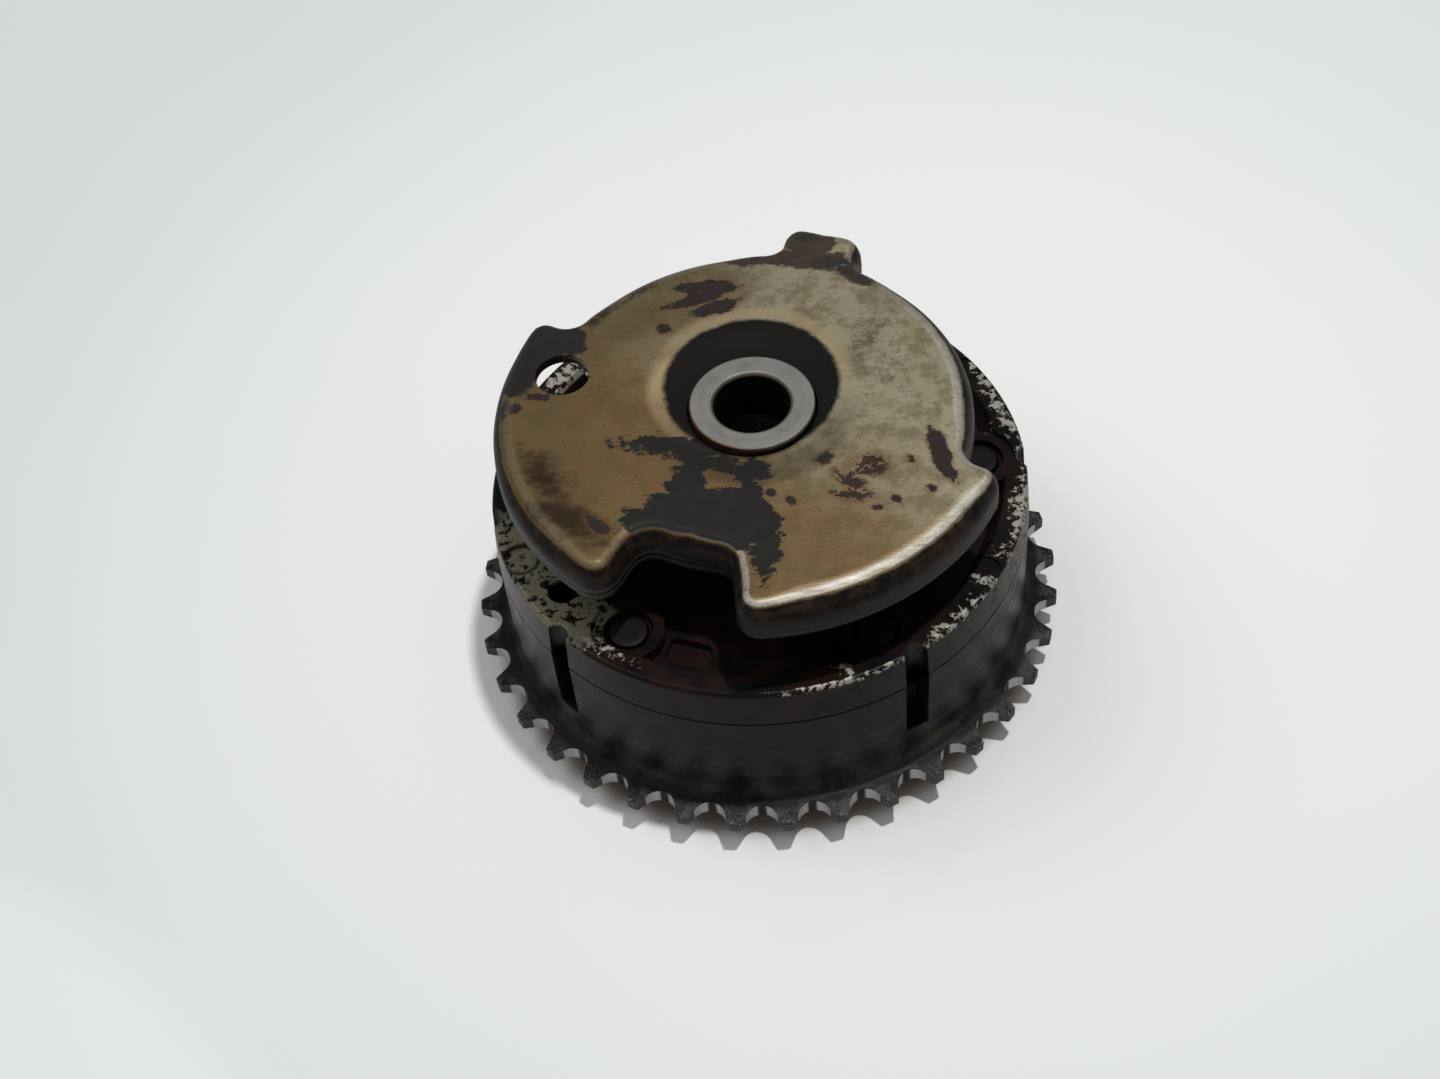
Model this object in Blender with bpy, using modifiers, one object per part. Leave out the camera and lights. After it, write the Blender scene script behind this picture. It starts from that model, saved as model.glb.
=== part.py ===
"""Vane-type camshaft phaser with an integral chain sprocket and a trigger wheel.

The housing is a sprocket and stator in one piece, closed by a cast front cover
and a rear cover that five screws pull together.  Inside it a rotor with four
sliding vanes and one wide lobe turns through the phasing angle; the wide lobe
carries a spring-loaded locking pin.  A hub sleeve runs from the rotor through
the front cover and carries the drawn sheet-steel trigger wheel.

Frame: +Z is the front of the unit, the axis of rotation is the Z axis, and
Z = 0 is the face of the rear collar.  Azimuths are degrees from +X towards +Y.
"""

import math

import bmesh
import bpy
from mathutils import Matrix, Vector

MM = 0.001
DEG = math.pi / 180.0

# Clearances
PART_GAP = 0.30            # between neighbouring solids that touch in the real unit
RUN_GAP = 0.30             # rotor hub to stator webs, vane tips to chamber wall
SLIDE_GAP = 0.15           # each side of a vane or seal in its slot

# Broken edges
EDGE_BREAK = 0.40
SEAM_BREAK = 0.20

# Central bolt and hub sleeve
RING_BORE_R = 5.70         # bore that the bolt passes
RING_W = 3.64              # width of the bolt's seat ring
RING_CHAMFER = 0.45
RING_BREAK = 0.25
RING_R = RING_BORE_R + RING_W
SHOULDER_W = 2.66          # step under the trigger wheel
NECK_R = RING_R + SHOULDER_W
BORE_RELIEF = 0.90
NECK_BORE_R = RING_BORE_R + BORE_RELIEF
RELIEF_DROP = 4.00         # where the relieved bore starts, under the shoulder
RELIEF_TAPER = 1.00

# Sprocket
TEETH = 36
CHAIN_PITCH = 8.0
ROLLER_D = 5.0
SEAT_CLEARANCE = 0.03
SEAT_HALF_ANGLE = 62.0
TIP_RISE = 0.80            # tooth tip over the pitch circle
TOOTH_W = 2.8
TOOTH_BEVEL = 0.45
TOOTH_AZ = 168.45          # one tooth's centre line
COLLAR_H = 4.0             # rear collar, from the sprocket's rear face
PITCH_R = 0.5 * CHAIN_PITCH / math.sin(math.pi / TEETH)
SEAT_R = 0.5 * ROLLER_D + SEAT_CLEARANCE
TIP_R = PITCH_R + TIP_RISE
ROOT_R = PITCH_R - SEAT_R
SPROCKET_Z0 = COLLAR_H
SPROCKET_Z1 = SPROCKET_Z0 + TOOTH_W

# Stator
FLARE_W = 1.87             # fillet from the housing's side to the tooth roots
FLARE_H = 3.0
STATOR_H = 18.5            # seam height over the sprocket's front face
WALL_T = 5.5
CHAMBER_DEPTH = 14.0
RECESS_INSET = 2.0         # rear recess that takes the rear cover
REAR_PLATE_T = 4.0
HOUSING_R = ROOT_R - FLARE_W
CHAMBER_R = HOUSING_R - WALL_T
ROTOR_R = CHAMBER_R - CHAMBER_DEPTH
RECESS_R = HOUSING_R - RECESS_INSET
SEAM_Z = SPROCKET_Z1 + STATOR_H
STATOR_Z0 = SPROCKET_Z0 + REAR_PLATE_T + 0.5 * PART_GAP
STATOR_Z1 = SEAM_Z - 0.5 * PART_GAP
WEB_COUNT = 5
WEB_SPACING_DEG = 64.0
WEB_AZ0 = 230.6            # first web, the one beside the dowel
WEB_HALF_DEG = 10.0
WIDE_WEB_AZ = 203.6        # the first web reaches back to here
WEB_AZ = [WEB_AZ0 + WEB_SPACING_DEG * k for k in range(WEB_COUNT)]

# Outside axial slots, with half-round notches in the cover above them
SLOT_AZ = (183.5, 218.7, 298.0, 357.7)
SLOT_W = 4.0
SLOT_DEPTH = 3.3
SLOT_RISE = 6.5            # slot's lower end over the sprocket's front face
SLOT_FLOOR_R = HOUSING_R - SLOT_DEPTH
SLOT_Z0 = SPROCKET_Z1 + SLOT_RISE
NOTCH_R = 0.5 * SLOT_W

# Front cover
COVER_H = 6.7
COVER_EDGE = 0.6
COVER_DRAFT = 0.4          # taper of the casting's side over its height
FLOOR_DROP = 2.6           # floor under the rim land
RIM_LAND_W = 3.9
RIM_SLOPE = 1.8
WIDE_LAND_AZ = (187.0, 224.0)
WIDE_LAND_W = 9.1
LAND_STEP = 0.02           # the wide land lies this much under the rim's face
PAD_AZ = (197.1, 261.6, 323.5, 26.6, 90.6)
PAD_R = 2.7
PAD_INSET = 2.9
PAD_DEPTH = 0.3
BOSS_R = 5.4
BOSS_DROP = 0.5
BOSS_BORE_R = 3.7
BOSS_BORE_DEPTH = 1.1
POCKET_AZ = 246.5
POCKET_INSET = 8.5
POCKET_W = 6.6
POCKET_L = 4.4
POCKET_CORNER = 1.2
POCKET_DEPTH = 1.2
COVER_BORE_R = NECK_R + RUN_GAP
COVER_Z0 = SEAM_Z + 0.5 * PART_GAP
COVER_Z1 = SEAM_Z + COVER_H
COVER_FLOOR_Z = COVER_Z1 - FLOOR_DROP
RIM_LAND_R = HOUSING_R - RIM_LAND_W
WIDE_LAND_R = HOUSING_R - WIDE_LAND_W
PAD_RING_R = HOUSING_R - PAD_INSET
POCKET_RING_R = HOUSING_R - POCKET_INSET
BOSS_Z = COVER_Z1 - BOSS_DROP

# Screws and dowel
SCREW_INSET = 7.5
SCREW_R = 2.8
SCREW_HEAD_W = 2.0         # how far the head reaches past the shank
SCREW_HEAD_H = 2.8
SCREW_SOCKET_R = 2.3
SCREW_SOCKET_DEPTH = 1.7
SCREW_END_DROP = 0.4       # screw's end under the boss's face
DOWEL_AZ = 210.6
DOWEL_INSET = 5.7
DOWEL_R = 2.0
DOWEL_PROUD = 2.0          # how far it enters the front cover
SCREW_RING_R = HOUSING_R - SCREW_INSET
SCREW_HOLE_R = SCREW_R + PART_GAP
SCREW_HEAD_R = SCREW_R + SCREW_HEAD_W
SCREW_END_Z = BOSS_Z - SCREW_END_DROP
DOWEL_RING_R = HOUSING_R - DOWEL_INSET
DOWEL_HOLE_R = DOWEL_R + PART_GAP
DOWEL_Z0 = SLOT_Z0
DOWEL_Z1 = COVER_Z0 + DOWEL_PROUD

# Rotor
PHASE_RANGE_DEG = 30.0
STOP_MARGIN_DEG = 0.5
VANE_SLOT_DEPTH = 4.6
PILOT_WALL = 3.4           # rotor wall between a vane slot and the camshaft recess
PILOT_ROOF = 6.0           # rotor left in front of the camshaft recess
PORT_R = 1.1
PORT_OFFSET_DEG = 12.0
PORT_EDGE_DEG = 3.0        # beyond the wide lobe's side
PORT_LEVELS = (0.31, 0.71) # along the camshaft recess
ROTOR_Z0 = STATOR_Z0
ROTOR_Z1 = STATOR_Z1
VANE_SLOT_R = ROTOR_R - VANE_SLOT_DEPTH
PILOT_R = VANE_SLOT_R - PILOT_WALL
PILOT_Z1 = ROTOR_Z1 - PILOT_ROOF
PORT_Z = [ROTOR_Z0 + level * (PILOT_Z1 - ROTOR_Z0) for level in PORT_LEVELS]
BOLT_BORE_R = NECK_BORE_R
LOBE_R = CHAMBER_R - RUN_GAP
LOBE_CHAMBER = (WEB_AZ[-1] - 360.0 + WEB_HALF_DEG, WIDE_WEB_AZ)
LOBE_WIDTH = LOBE_CHAMBER[1] - LOBE_CHAMBER[0] - PHASE_RANGE_DEG - 2.0 * STOP_MARGIN_DEG
LOBE_AZ = LOBE_CHAMBER[1] - STOP_MARGIN_DEG - 0.5 * LOBE_WIDTH

# Vanes, lobe seal and leaf springs
VANE_COUNT = WEB_COUNT - 1
VANE_T = 3.0
VANE_BREAK = 0.3
SPRING_SPACE = 1.5         # slot depth left behind a vane for its leaf spring
SEAL_OFFSET_DEG = 12.0     # from the lobe's centre line
SEAL_T = 2.0
SEAL_H = 3.2
SEAL_BREAK = 0.25
SEAL_SPACE = 1.2
LEAF_T = 0.25
LEAF_W = 2.0
LEAF_BOW = 0.45
LEAF_END_GAP = 1.5
VANE_R0 = VANE_SLOT_R + SPRING_SPACE
VANE_AZ = [WEB_AZ[k] + 0.5 * WEB_SPACING_DEG + 0.5 * PHASE_RANGE_DEG for k in range(VANE_COUNT)]
SEAL_R0 = LOBE_R - SEAL_H
SEAL_SLOT_R = SEAL_R0 - SEAL_SPACE
SEAL_AZ = LOBE_AZ + SEAL_OFFSET_DEG

# Rear cover
COLLAR_W = 7.0
COLLAR_STEP = 2.0          # collar's bore over the camshaft recess
REAR_PLATE_R = RECESS_R - PART_GAP
REAR_PLATE_Z1 = STATOR_Z0 - PART_GAP
COLLAR_BORE_R = PILOT_R + COLLAR_STEP
COLLAR_R = COLLAR_BORE_R + COLLAR_W

# Locking pin, its spring and its seat
LOCK_PIN_R = 4.0
LOCK_PIN_L = 10.0
LOCK_PIN_NOSE = 3.5        # solid nose in front of the spring pocket
LOCK_PIN_WALL = 1.1
LOCK_GAP = 0.10
LOCK_ROOF = 3.0
LOCK_VENT_R = 1.0
LOCK_SEAT_GAP = 0.30
LOCK_SEAT_WALL = 0.90
LOCK_SEAT_FLOOR = 0.80
LOCK_SEAT_LEFT = 1.25      # rear plate left under the seat
LOCK_WIRE_R = 0.40
LOCK_COIL_GAP = 0.40
LOCK_TURNS = 5
LOCK_RING_R = 0.5 * (ROTOR_R + CHAMBER_R)
LOCK_BORE_R = LOCK_PIN_R + LOCK_GAP
LOCK_BORE_TOP = ROTOR_Z1 - LOCK_ROOF
LOCK_SEAT_BORE_R = LOCK_PIN_R + LOCK_SEAT_GAP
LOCK_SEAT_R = LOCK_SEAT_BORE_R + LOCK_SEAT_WALL
LOCK_SEAT_Z0 = SPROCKET_Z0 + LOCK_SEAT_LEFT
LOCK_COIL_R = LOCK_PIN_R - LOCK_PIN_WALL - LOCK_COIL_GAP - LOCK_WIRE_R

# Trigger wheel
WHEEL_STAND_OFF = 16.7     # wheel's face over the front cover's face
SHEET_T = 1.8
BEND_R = 2.4
SKIRT_H = 6.5
DISH_DEPTH = 2.6
DISH_SLOPE_W = 3.6
DISH_BLEND = 0.65
WHEEL_LOW_R = 32.7
WHEEL_STEP = 6.1
WHEEL_NOTCH_DEPTH = 5.1
STEP_ROUND = 0.475 * WHEEL_STEP
CORNER_ROUND = 0.55 * WHEEL_STEP
SIGHT_HOLE_AZ = 160.5
SIGHT_HOLE_INSET = 9.4
SIGHT_HOLE_R = 4.1
TOP_Z = COVER_Z1 + WHEEL_STAND_OFF
SHOULDER_Z = TOP_Z - DISH_DEPTH - SHEET_T - PART_GAP
DISH_FLOOR_R = NECK_R
DISH_R = DISH_FLOOR_R + DISH_SLOPE_W
WHEEL_BORE_R = RING_R + PART_GAP
WHEEL_HIGH_R = WHEEL_LOW_R + WHEEL_STEP
WHEEL_NOTCH_R = WHEEL_LOW_R - WHEEL_NOTCH_DEPTH
SIGHT_RING_R = WHEEL_HIGH_R - SIGHT_HOLE_INSET
# Corners of the wheel's outline: azimuth, radius and rounding
WHEEL_CORNERS = (
    (55.6, WHEEL_LOW_R, STEP_ROUND), (57.0, WHEEL_HIGH_R, CORNER_ROUND),
    (76.4, WHEEL_HIGH_R, STEP_ROUND), (77.4, WHEEL_LOW_R, STEP_ROUND),
    (142.1, WHEEL_LOW_R, STEP_ROUND), (142.9, WHEEL_HIGH_R, STEP_ROUND),
    (231.8, WHEEL_HIGH_R, CORNER_ROUND), (230.4, WHEEL_NOTCH_R, CORNER_ROUND),
    (258.4, WHEEL_NOTCH_R, STEP_ROUND), (261.4, WHEEL_HIGH_R, CORNER_ROUND),
    (332.8, WHEEL_HIGH_R, STEP_ROUND), (334.0, WHEEL_LOW_R, STEP_ROUND),
)

# Tessellation
TURN_STEPS = 72
REAR_STEPS = 48
HUB_STEPS = 40
SMALL_STEPS = 16
NOTCH_STEPS = 12
PORT_STEPS = 8
COIL_STEPS = 8
LEAF_STEPS = 6
SEAT_STEPS = 3             # each side of a tooth gap's lowest point
ARC_STEP_DEG = 6.0
CORNER_SEGMENTS = 4
CUT_MARGIN = 1.0
MERGE_M = 0.00001


# Scene helpers
def clear_scene():
    """Remove whatever the scene holds, with its meshes, curves and materials."""
    for item in list(bpy.data.objects):
        bpy.data.objects.remove(item, do_unlink=True)
    for store in (bpy.data.meshes, bpy.data.curves, bpy.data.materials):
        for block in list(store):
            store.remove(block)
    for group in list(bpy.data.collections):
        bpy.data.collections.remove(group)


def new_collection(name):
    """Make a collection linked to the scene."""
    group = bpy.data.collections.new(name)
    bpy.context.scene.collection.children.link(group)
    return group


def make_material(name, color, roughness, metallic):
    """Make a Principled material with one colour, roughness and metallic value."""
    mat = bpy.data.materials.new(name)
    mat.use_nodes = True
    shader = mat.node_tree.nodes["Principled BSDF"]
    shader.inputs["Base Color"].default_value = (*color, 1.0)
    shader.inputs["Roughness"].default_value = roughness
    shader.inputs["Metallic"].default_value = metallic
    mat.diffuse_color = (*color, 1.0)
    return mat


def polar(radius, azimuth, z=0.0):
    """Point in millimetres at a radius and an azimuth in degrees."""
    return Vector((radius * math.cos(azimuth * DEG), radius * math.sin(azimuth * DEG), z))


def turned_point(x, y, azimuth):
    """Plan point (x outwards, y sideways) turned about the axis to an azimuth."""
    return Matrix.Rotation(azimuth * DEG, 2) @ Vector((x, y))


def arc_points(radius, start, end, step=ARC_STEP_DEG):
    """Points of an arc about the axis, both ends included."""
    count = max(1, round(abs(end - start) / step))
    return [polar(radius, start + (end - start) * i / count) for i in range(count + 1)]


class Builder:
    """Collects the parts and their cutters and holds the shared materials."""

    def __init__(self):
        self.parts = new_collection("cam_phaser")
        self.cutters = new_collection("cutters")
        self.materials = {}

    def material(self, name, color, roughness, metallic):
        """Register a shared material."""
        self.materials[name] = make_material(name, color, roughness, metallic)

    def add(self, name, mesh, group=None, material=None, location=(0, 0, 0), spin=0.0):
        """Link a mesh object, placed in millimetres and turned about Z in degrees."""
        obj = bpy.data.objects.new(name, mesh)
        obj.location = Vector(location) * MM
        obj.rotation_euler = (0.0, 0.0, spin * DEG)
        (group or self.parts).objects.link(obj)
        if material is not None:
            obj.data.materials.append(self.materials[material])
        return obj

    def turned(self, name, profile, steps=TURN_STEPS, group=None, material=None,
               location=(0, 0, 0), closed=True):
        """Turn a profile of (radius, z) about Z with a Screw modifier.

        The profile runs down the outer side.  A closed profile is a ring-shaped
        section; an open one starts and ends on the axis.
        """
        bm = bmesh.new()
        verts = [bm.verts.new((r * MM, 0.0, z * MM)) for r, z in profile]
        for a, b in zip(verts, verts[1:]):
            bm.edges.new((a, b))
        if closed:
            bm.edges.new((verts[-1], verts[0]))
        mesh = bpy.data.meshes.new(name)
        bm.to_mesh(mesh)
        bm.free()
        obj = self.add(name, mesh, group, material, location)
        screw = obj.modifiers.new("turn", 'SCREW')
        screw.axis = 'Z'
        screw.angle = 2.0 * math.pi
        screw.steps = steps
        screw.render_steps = steps
        screw.use_merge_vertices = True
        screw.merge_threshold = MERGE_M
        screw.use_smooth_shade = False
        return obj

    def prisms(self, name, outlines, z0, z1, group=None, material=None):
        """Extrude flat outlines, each a counter-clockwise point list, into one mesh."""
        bm = bmesh.new()
        for outline in outlines:
            face = bm.faces.new([bm.verts.new((p[0] * MM, p[1] * MM, z0 * MM)) for p in outline])
            raised = bmesh.ops.extrude_face_region(bm, geom=[face])
            verts = [v for v in raised["geom"] if isinstance(v, bmesh.types.BMVert)]
            bmesh.ops.translate(bm, verts=verts, vec=(0.0, 0.0, (z1 - z0) * MM))
        bmesh.ops.recalc_face_normals(bm, faces=bm.faces)
        mesh = bpy.data.meshes.new(name)
        bm.to_mesh(mesh)
        bm.free()
        return self.add(name, mesh, group, material)

    def rods(self, name, spots, radius, z0, z1, steps=SMALL_STEPS, group=None, material=None):
        """Upright cylinders at the given points, in one mesh."""
        bm = bmesh.new()
        for spot in spots:
            place = Matrix.Translation(Vector((spot[0], spot[1], 0.5 * (z0 + z1))) * MM)
            bmesh.ops.create_cone(bm, cap_ends=True, cap_tris=False, segments=steps,
                                  radius1=radius * MM, radius2=radius * MM,
                                  depth=(z1 - z0) * MM, matrix=place)
        mesh = bpy.data.meshes.new(name)
        bm.to_mesh(mesh)
        bm.free()
        return self.add(name, mesh, group, material)

    def block(self, name, size, location, spin, group=None, material=None):
        """A box of the given size in millimetres, centred at its location."""
        bm = bmesh.new()
        bmesh.ops.create_cube(bm, size=1.0)
        bmesh.ops.scale(bm, verts=bm.verts, vec=[s * MM for s in size])
        mesh = bpy.data.meshes.new(name)
        bm.to_mesh(mesh)
        bm.free()
        return self.add(name, mesh, group, material, location, spin)

    def cut(self, obj, cutter):
        """Take the cutter away from the object."""
        self._boolean(obj, cutter, 'DIFFERENCE')

    def join(self, obj, other):
        """Unite a construction piece with the object."""
        self._boolean(obj, other, 'UNION')

    @staticmethod
    def _boolean(obj, tool, operation):
        tool.hide_render = True
        tool.display_type = 'WIRE'
        mod = obj.modifiers.new(tool.name, 'BOOLEAN')
        mod.operation = operation
        mod.solver = 'EXACT'
        mod.object = tool


def bevel(obj, width, segments=1):
    """Round the edges of an object."""
    mod = obj.modifiers.new("edges", 'BEVEL')
    mod.width = width * MM
    mod.segments = segments
    mod.limit_method = 'ANGLE'
    mod.angle_limit = 40.0 * DEG


# Housing
def tooth_gap_outline(azimuth):
    """Plan outline of the gap between two teeth: roller seat and straight flanks."""
    points = []
    for i in range(-SEAT_STEPS, SEAT_STEPS + 1):
        angle = SEAT_HALF_ANGLE * i / SEAT_STEPS * DEG
        points.append((SEAT_R * math.sin(angle), PITCH_R - SEAT_R * math.cos(angle)))
    x_end, y_end = points[-1]
    x_tip = x_end + (TIP_R - y_end) / math.tan(SEAT_HALF_ANGLE * DEG)
    reach = TIP_R + CUT_MARGIN
    points = [(-x_tip, reach), (-x_tip, TIP_R)] + points + [(x_tip, TIP_R), (x_tip, reach)]
    return [turned_point(x, y, azimuth - 90.0) for x, y in points]


def sector_outline(r_in, r_out, start, end):
    """Plan outline of a ring sector."""
    return arc_points(r_out, start, end) + arc_points(r_in, end, start, 2.0 * ARC_STEP_DEG)


def slot_box(azimuth, half_width, r_in, r_out):
    """Plan outline of a radial slot."""
    box = ((r_in, -half_width), (r_out, -half_width), (r_out, half_width), (r_in, half_width))
    return [turned_point(x, y, azimuth) for x, y in box]


def stator_profile():
    """Half section of the stator and sprocket blank."""
    z0, z1 = SPROCKET_Z0, SPROCKET_Z1
    flare = ROOT_R - HOUSING_R
    profile = [
        (HOUSING_R - SEAM_BREAK, STATOR_Z1),
        (HOUSING_R, STATOR_Z1 - SEAM_BREAK),
        (HOUSING_R, z1 + FLARE_H),
        (HOUSING_R + 0.10 * flare, z1 + 0.62 * FLARE_H),
        (HOUSING_R + 0.36 * flare, z1 + 0.28 * FLARE_H),
        (ROOT_R, z1),
        (TIP_R, z1 - TOOTH_BEVEL),
        (TIP_R, z0 + TOOTH_BEVEL),
        (ROOT_R, z0),
        (RECESS_R, z0),
        (RECESS_R, STATOR_Z0),
        (ROTOR_R + RUN_GAP, STATOR_Z0),
        (ROTOR_R + RUN_GAP, STATOR_Z1),
    ]
    return profile


def build_stator(kit):
    """Sprocket and stator in one piece."""
    stator = kit.turned("stator_sprocket", stator_profile(), material="stator_steel")
    step = 360.0 / TEETH
    gaps = [tooth_gap_outline(TOOTH_AZ + step * (k + 0.5)) for k in range(TEETH)]
    kit.cut(stator, kit.prisms("tooth_gap_cutter", gaps, SPROCKET_Z0 - CUT_MARGIN,
                               SPROCKET_Z1 + 0.5 * CUT_MARGIN, kit.cutters))
    spans = [(WEB_AZ[k] + WEB_HALF_DEG, WEB_AZ[k + 1] - WEB_HALF_DEG)
             for k in range(VANE_COUNT)]
    spans.append(LOBE_CHAMBER)
    chambers = [sector_outline(ROTOR_R - CUT_MARGIN, CHAMBER_R, a, b) for a, b in spans]
    kit.cut(stator, kit.prisms("chamber_cutter", chambers, STATOR_Z0 - CUT_MARGIN,
                               STATOR_Z1 + CUT_MARGIN, kit.cutters))
    slots = [slot_box(a, 0.5 * SLOT_W, SLOT_FLOOR_R, HOUSING_R + CUT_MARGIN) for a in SLOT_AZ]
    kit.cut(stator, kit.prisms("slot_cutter", slots, SLOT_Z0, STATOR_Z1 + CUT_MARGIN, kit.cutters))
    holes = [polar(SCREW_RING_R, a) for a in WEB_AZ]
    kit.cut(stator, kit.rods("stator_screw_hole_cutter", holes, SCREW_HOLE_R,
                             STATOR_Z0 - CUT_MARGIN, STATOR_Z1 + CUT_MARGIN, group=kit.cutters))
    kit.cut(stator, kit.rods("stator_dowel_hole_cutter", [polar(DOWEL_RING_R, DOWEL_AZ)],
                             DOWEL_HOLE_R, DOWEL_Z0 - PART_GAP, STATOR_Z1 + CUT_MARGIN,
                             group=kit.cutters))
    return stator


def build_front_cover(kit):
    """Cast front cover with rim land, bosses, pads, pockets and half-round notches."""
    z0, z1, floor = COVER_Z0, COVER_Z1, COVER_FLOOR_Z
    profile = [
        (RIM_LAND_R, z1),
        (HOUSING_R - COVER_DRAFT - COVER_EDGE, z1),
        (HOUSING_R - COVER_DRAFT, z1 - COVER_EDGE),
        (HOUSING_R, z0 + SEAM_BREAK),
        (HOUSING_R - SEAM_BREAK, z0),
        (COVER_BORE_R, z0),
        (COVER_BORE_R, floor),
        (RIM_LAND_R - RIM_SLOPE, floor),
    ]
    cover = kit.turned("front_cover", profile, material="cover_casting")
    land = sector_outline(WIDE_LAND_R, RIM_LAND_R + CUT_MARGIN, *WIDE_LAND_AZ)
    kit.join(cover, kit.prisms("wide_land_form", [land], floor - CUT_MARGIN, z1 - LAND_STEP,
                               kit.cutters))
    spots = [polar(SCREW_RING_R, a) for a in WEB_AZ]
    kit.join(cover, kit.rods("boss_form", spots, BOSS_R, floor - CUT_MARGIN, BOSS_Z, group=kit.cutters))
    kit.cut(cover, kit.rods("boss_bore_cutter", spots, BOSS_BORE_R, BOSS_Z - BOSS_BORE_DEPTH,
                            z1 + CUT_MARGIN, group=kit.cutters))
    kit.cut(cover, kit.rods("cover_screw_hole_cutter", spots, SCREW_HOLE_R, z0 - CUT_MARGIN,
                            z1 + CUT_MARGIN, group=kit.cutters))
    kit.cut(cover, kit.rods("cover_dowel_hole_cutter", [polar(DOWEL_RING_R, DOWEL_AZ)],
                            DOWEL_HOLE_R, z0 - CUT_MARGIN, z1 + CUT_MARGIN, group=kit.cutters))
    notches = [polar(HOUSING_R, a) for a in SLOT_AZ]
    kit.cut(cover, kit.rods("notch_cutter", notches, NOTCH_R, z0 - CUT_MARGIN, z1 + CUT_MARGIN,
                            steps=NOTCH_STEPS, group=kit.cutters))
    pads = [polar(PAD_RING_R, a) for a in PAD_AZ]
    kit.cut(cover, kit.rods("pad_cutter", pads, PAD_R, z1 - PAD_DEPTH, z1 + CUT_MARGIN,
                            steps=NOTCH_STEPS, group=kit.cutters))
    half_w, half_r = 0.5 * POCKET_W, 0.5 * POCKET_L
    shape = ((-half_r, -half_w + POCKET_CORNER), (-half_r + POCKET_CORNER, -half_w),
             (half_r - POCKET_CORNER, -half_w), (half_r, -half_w + POCKET_CORNER),
             (half_r, half_w - POCKET_CORNER), (half_r - POCKET_CORNER, half_w),
             (-half_r + POCKET_CORNER, half_w), (-half_r, half_w - POCKET_CORNER))
    pocket = [turned_point(POCKET_RING_R + x, y, POCKET_AZ) for x, y in shape]
    kit.cut(cover, kit.prisms("pocket_cutter", [pocket], floor - POCKET_DEPTH, z1 + CUT_MARGIN,
                              kit.cutters))
    return cover


def build_rear_cover(kit):
    """Rear cover: plate in the stator's recess and the collar the unit stands on."""
    edge = EDGE_BREAK
    profile = [
        (REAR_PLATE_R - edge, REAR_PLATE_Z1),
        (REAR_PLATE_R, REAR_PLATE_Z1 - edge),
        (REAR_PLATE_R, SPROCKET_Z0 + edge),
        (REAR_PLATE_R - edge, SPROCKET_Z0),
        (COLLAR_R, SPROCKET_Z0),
        (COLLAR_R, edge),
        (COLLAR_R - edge, 0.0),
        (COLLAR_BORE_R + edge, 0.0),
        (COLLAR_BORE_R, edge),
        (COLLAR_BORE_R, REAR_PLATE_Z1),
    ]
    cover = kit.turned("rear_cover", profile, steps=REAR_STEPS, material="rear_cover_steel")
    spots = [polar(SCREW_RING_R, a) for a in WEB_AZ]
    kit.cut(cover, kit.rods("rear_screw_hole_cutter", spots, SCREW_HOLE_R,
                            SPROCKET_Z0 - CUT_MARGIN, REAR_PLATE_Z1 + CUT_MARGIN,
                            group=kit.cutters))
    kit.cut(cover, kit.rods("lock_seat_bore_cutter", [polar(LOCK_RING_R, LOBE_AZ)],
                            LOCK_SEAT_R + PART_GAP, LOCK_SEAT_Z0 - PART_GAP,
                            REAR_PLATE_Z1 + CUT_MARGIN, group=kit.cutters))
    return cover


def build_screws(kit):
    """Five cover screws, heads at the rear, ends showing in the front bosses."""
    head_z1 = SPROCKET_Z0 - PART_GAP
    head_z0 = head_z1 - SCREW_HEAD_H
    edge = EDGE_BREAK
    profile = [
        (0.0, SCREW_END_Z),
        (SCREW_R - edge, SCREW_END_Z),
        (SCREW_R, SCREW_END_Z - edge),
        (SCREW_R, head_z1),
        (SCREW_HEAD_R, head_z1),
        (SCREW_HEAD_R, head_z0 + edge),
        (SCREW_HEAD_R - edge, head_z0),
        (0.0, head_z0),
    ]
    for k, azimuth in enumerate(WEB_AZ):
        spot = polar(SCREW_RING_R, azimuth)
        screw = kit.turned(f"cover_screw_{k + 1}", profile, steps=SMALL_STEPS,
                           material="screw_steel", location=spot, closed=False)
        socket = kit.rods(f"socket_cutter_{k + 1}", [spot], SCREW_SOCKET_R,
                          head_z0 - CUT_MARGIN, head_z0 + SCREW_SOCKET_DEPTH, steps=6,
                          group=kit.cutters)
        kit.cut(screw, socket)


def build_dowel(kit):
    """Dowel that lines the front cover up with the stator."""
    edge = EDGE_BREAK
    profile = [
        (0.0, DOWEL_Z1),
        (DOWEL_R - edge, DOWEL_Z1),
        (DOWEL_R, DOWEL_Z1 - edge),
        (DOWEL_R, DOWEL_Z0 + edge),
        (DOWEL_R - edge, DOWEL_Z0),
        (0.0, DOWEL_Z0),
    ]
    kit.turned("cover_dowel", profile, steps=SMALL_STEPS, material="screw_steel",
               location=polar(DOWEL_RING_R, DOWEL_AZ), closed=False)


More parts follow.
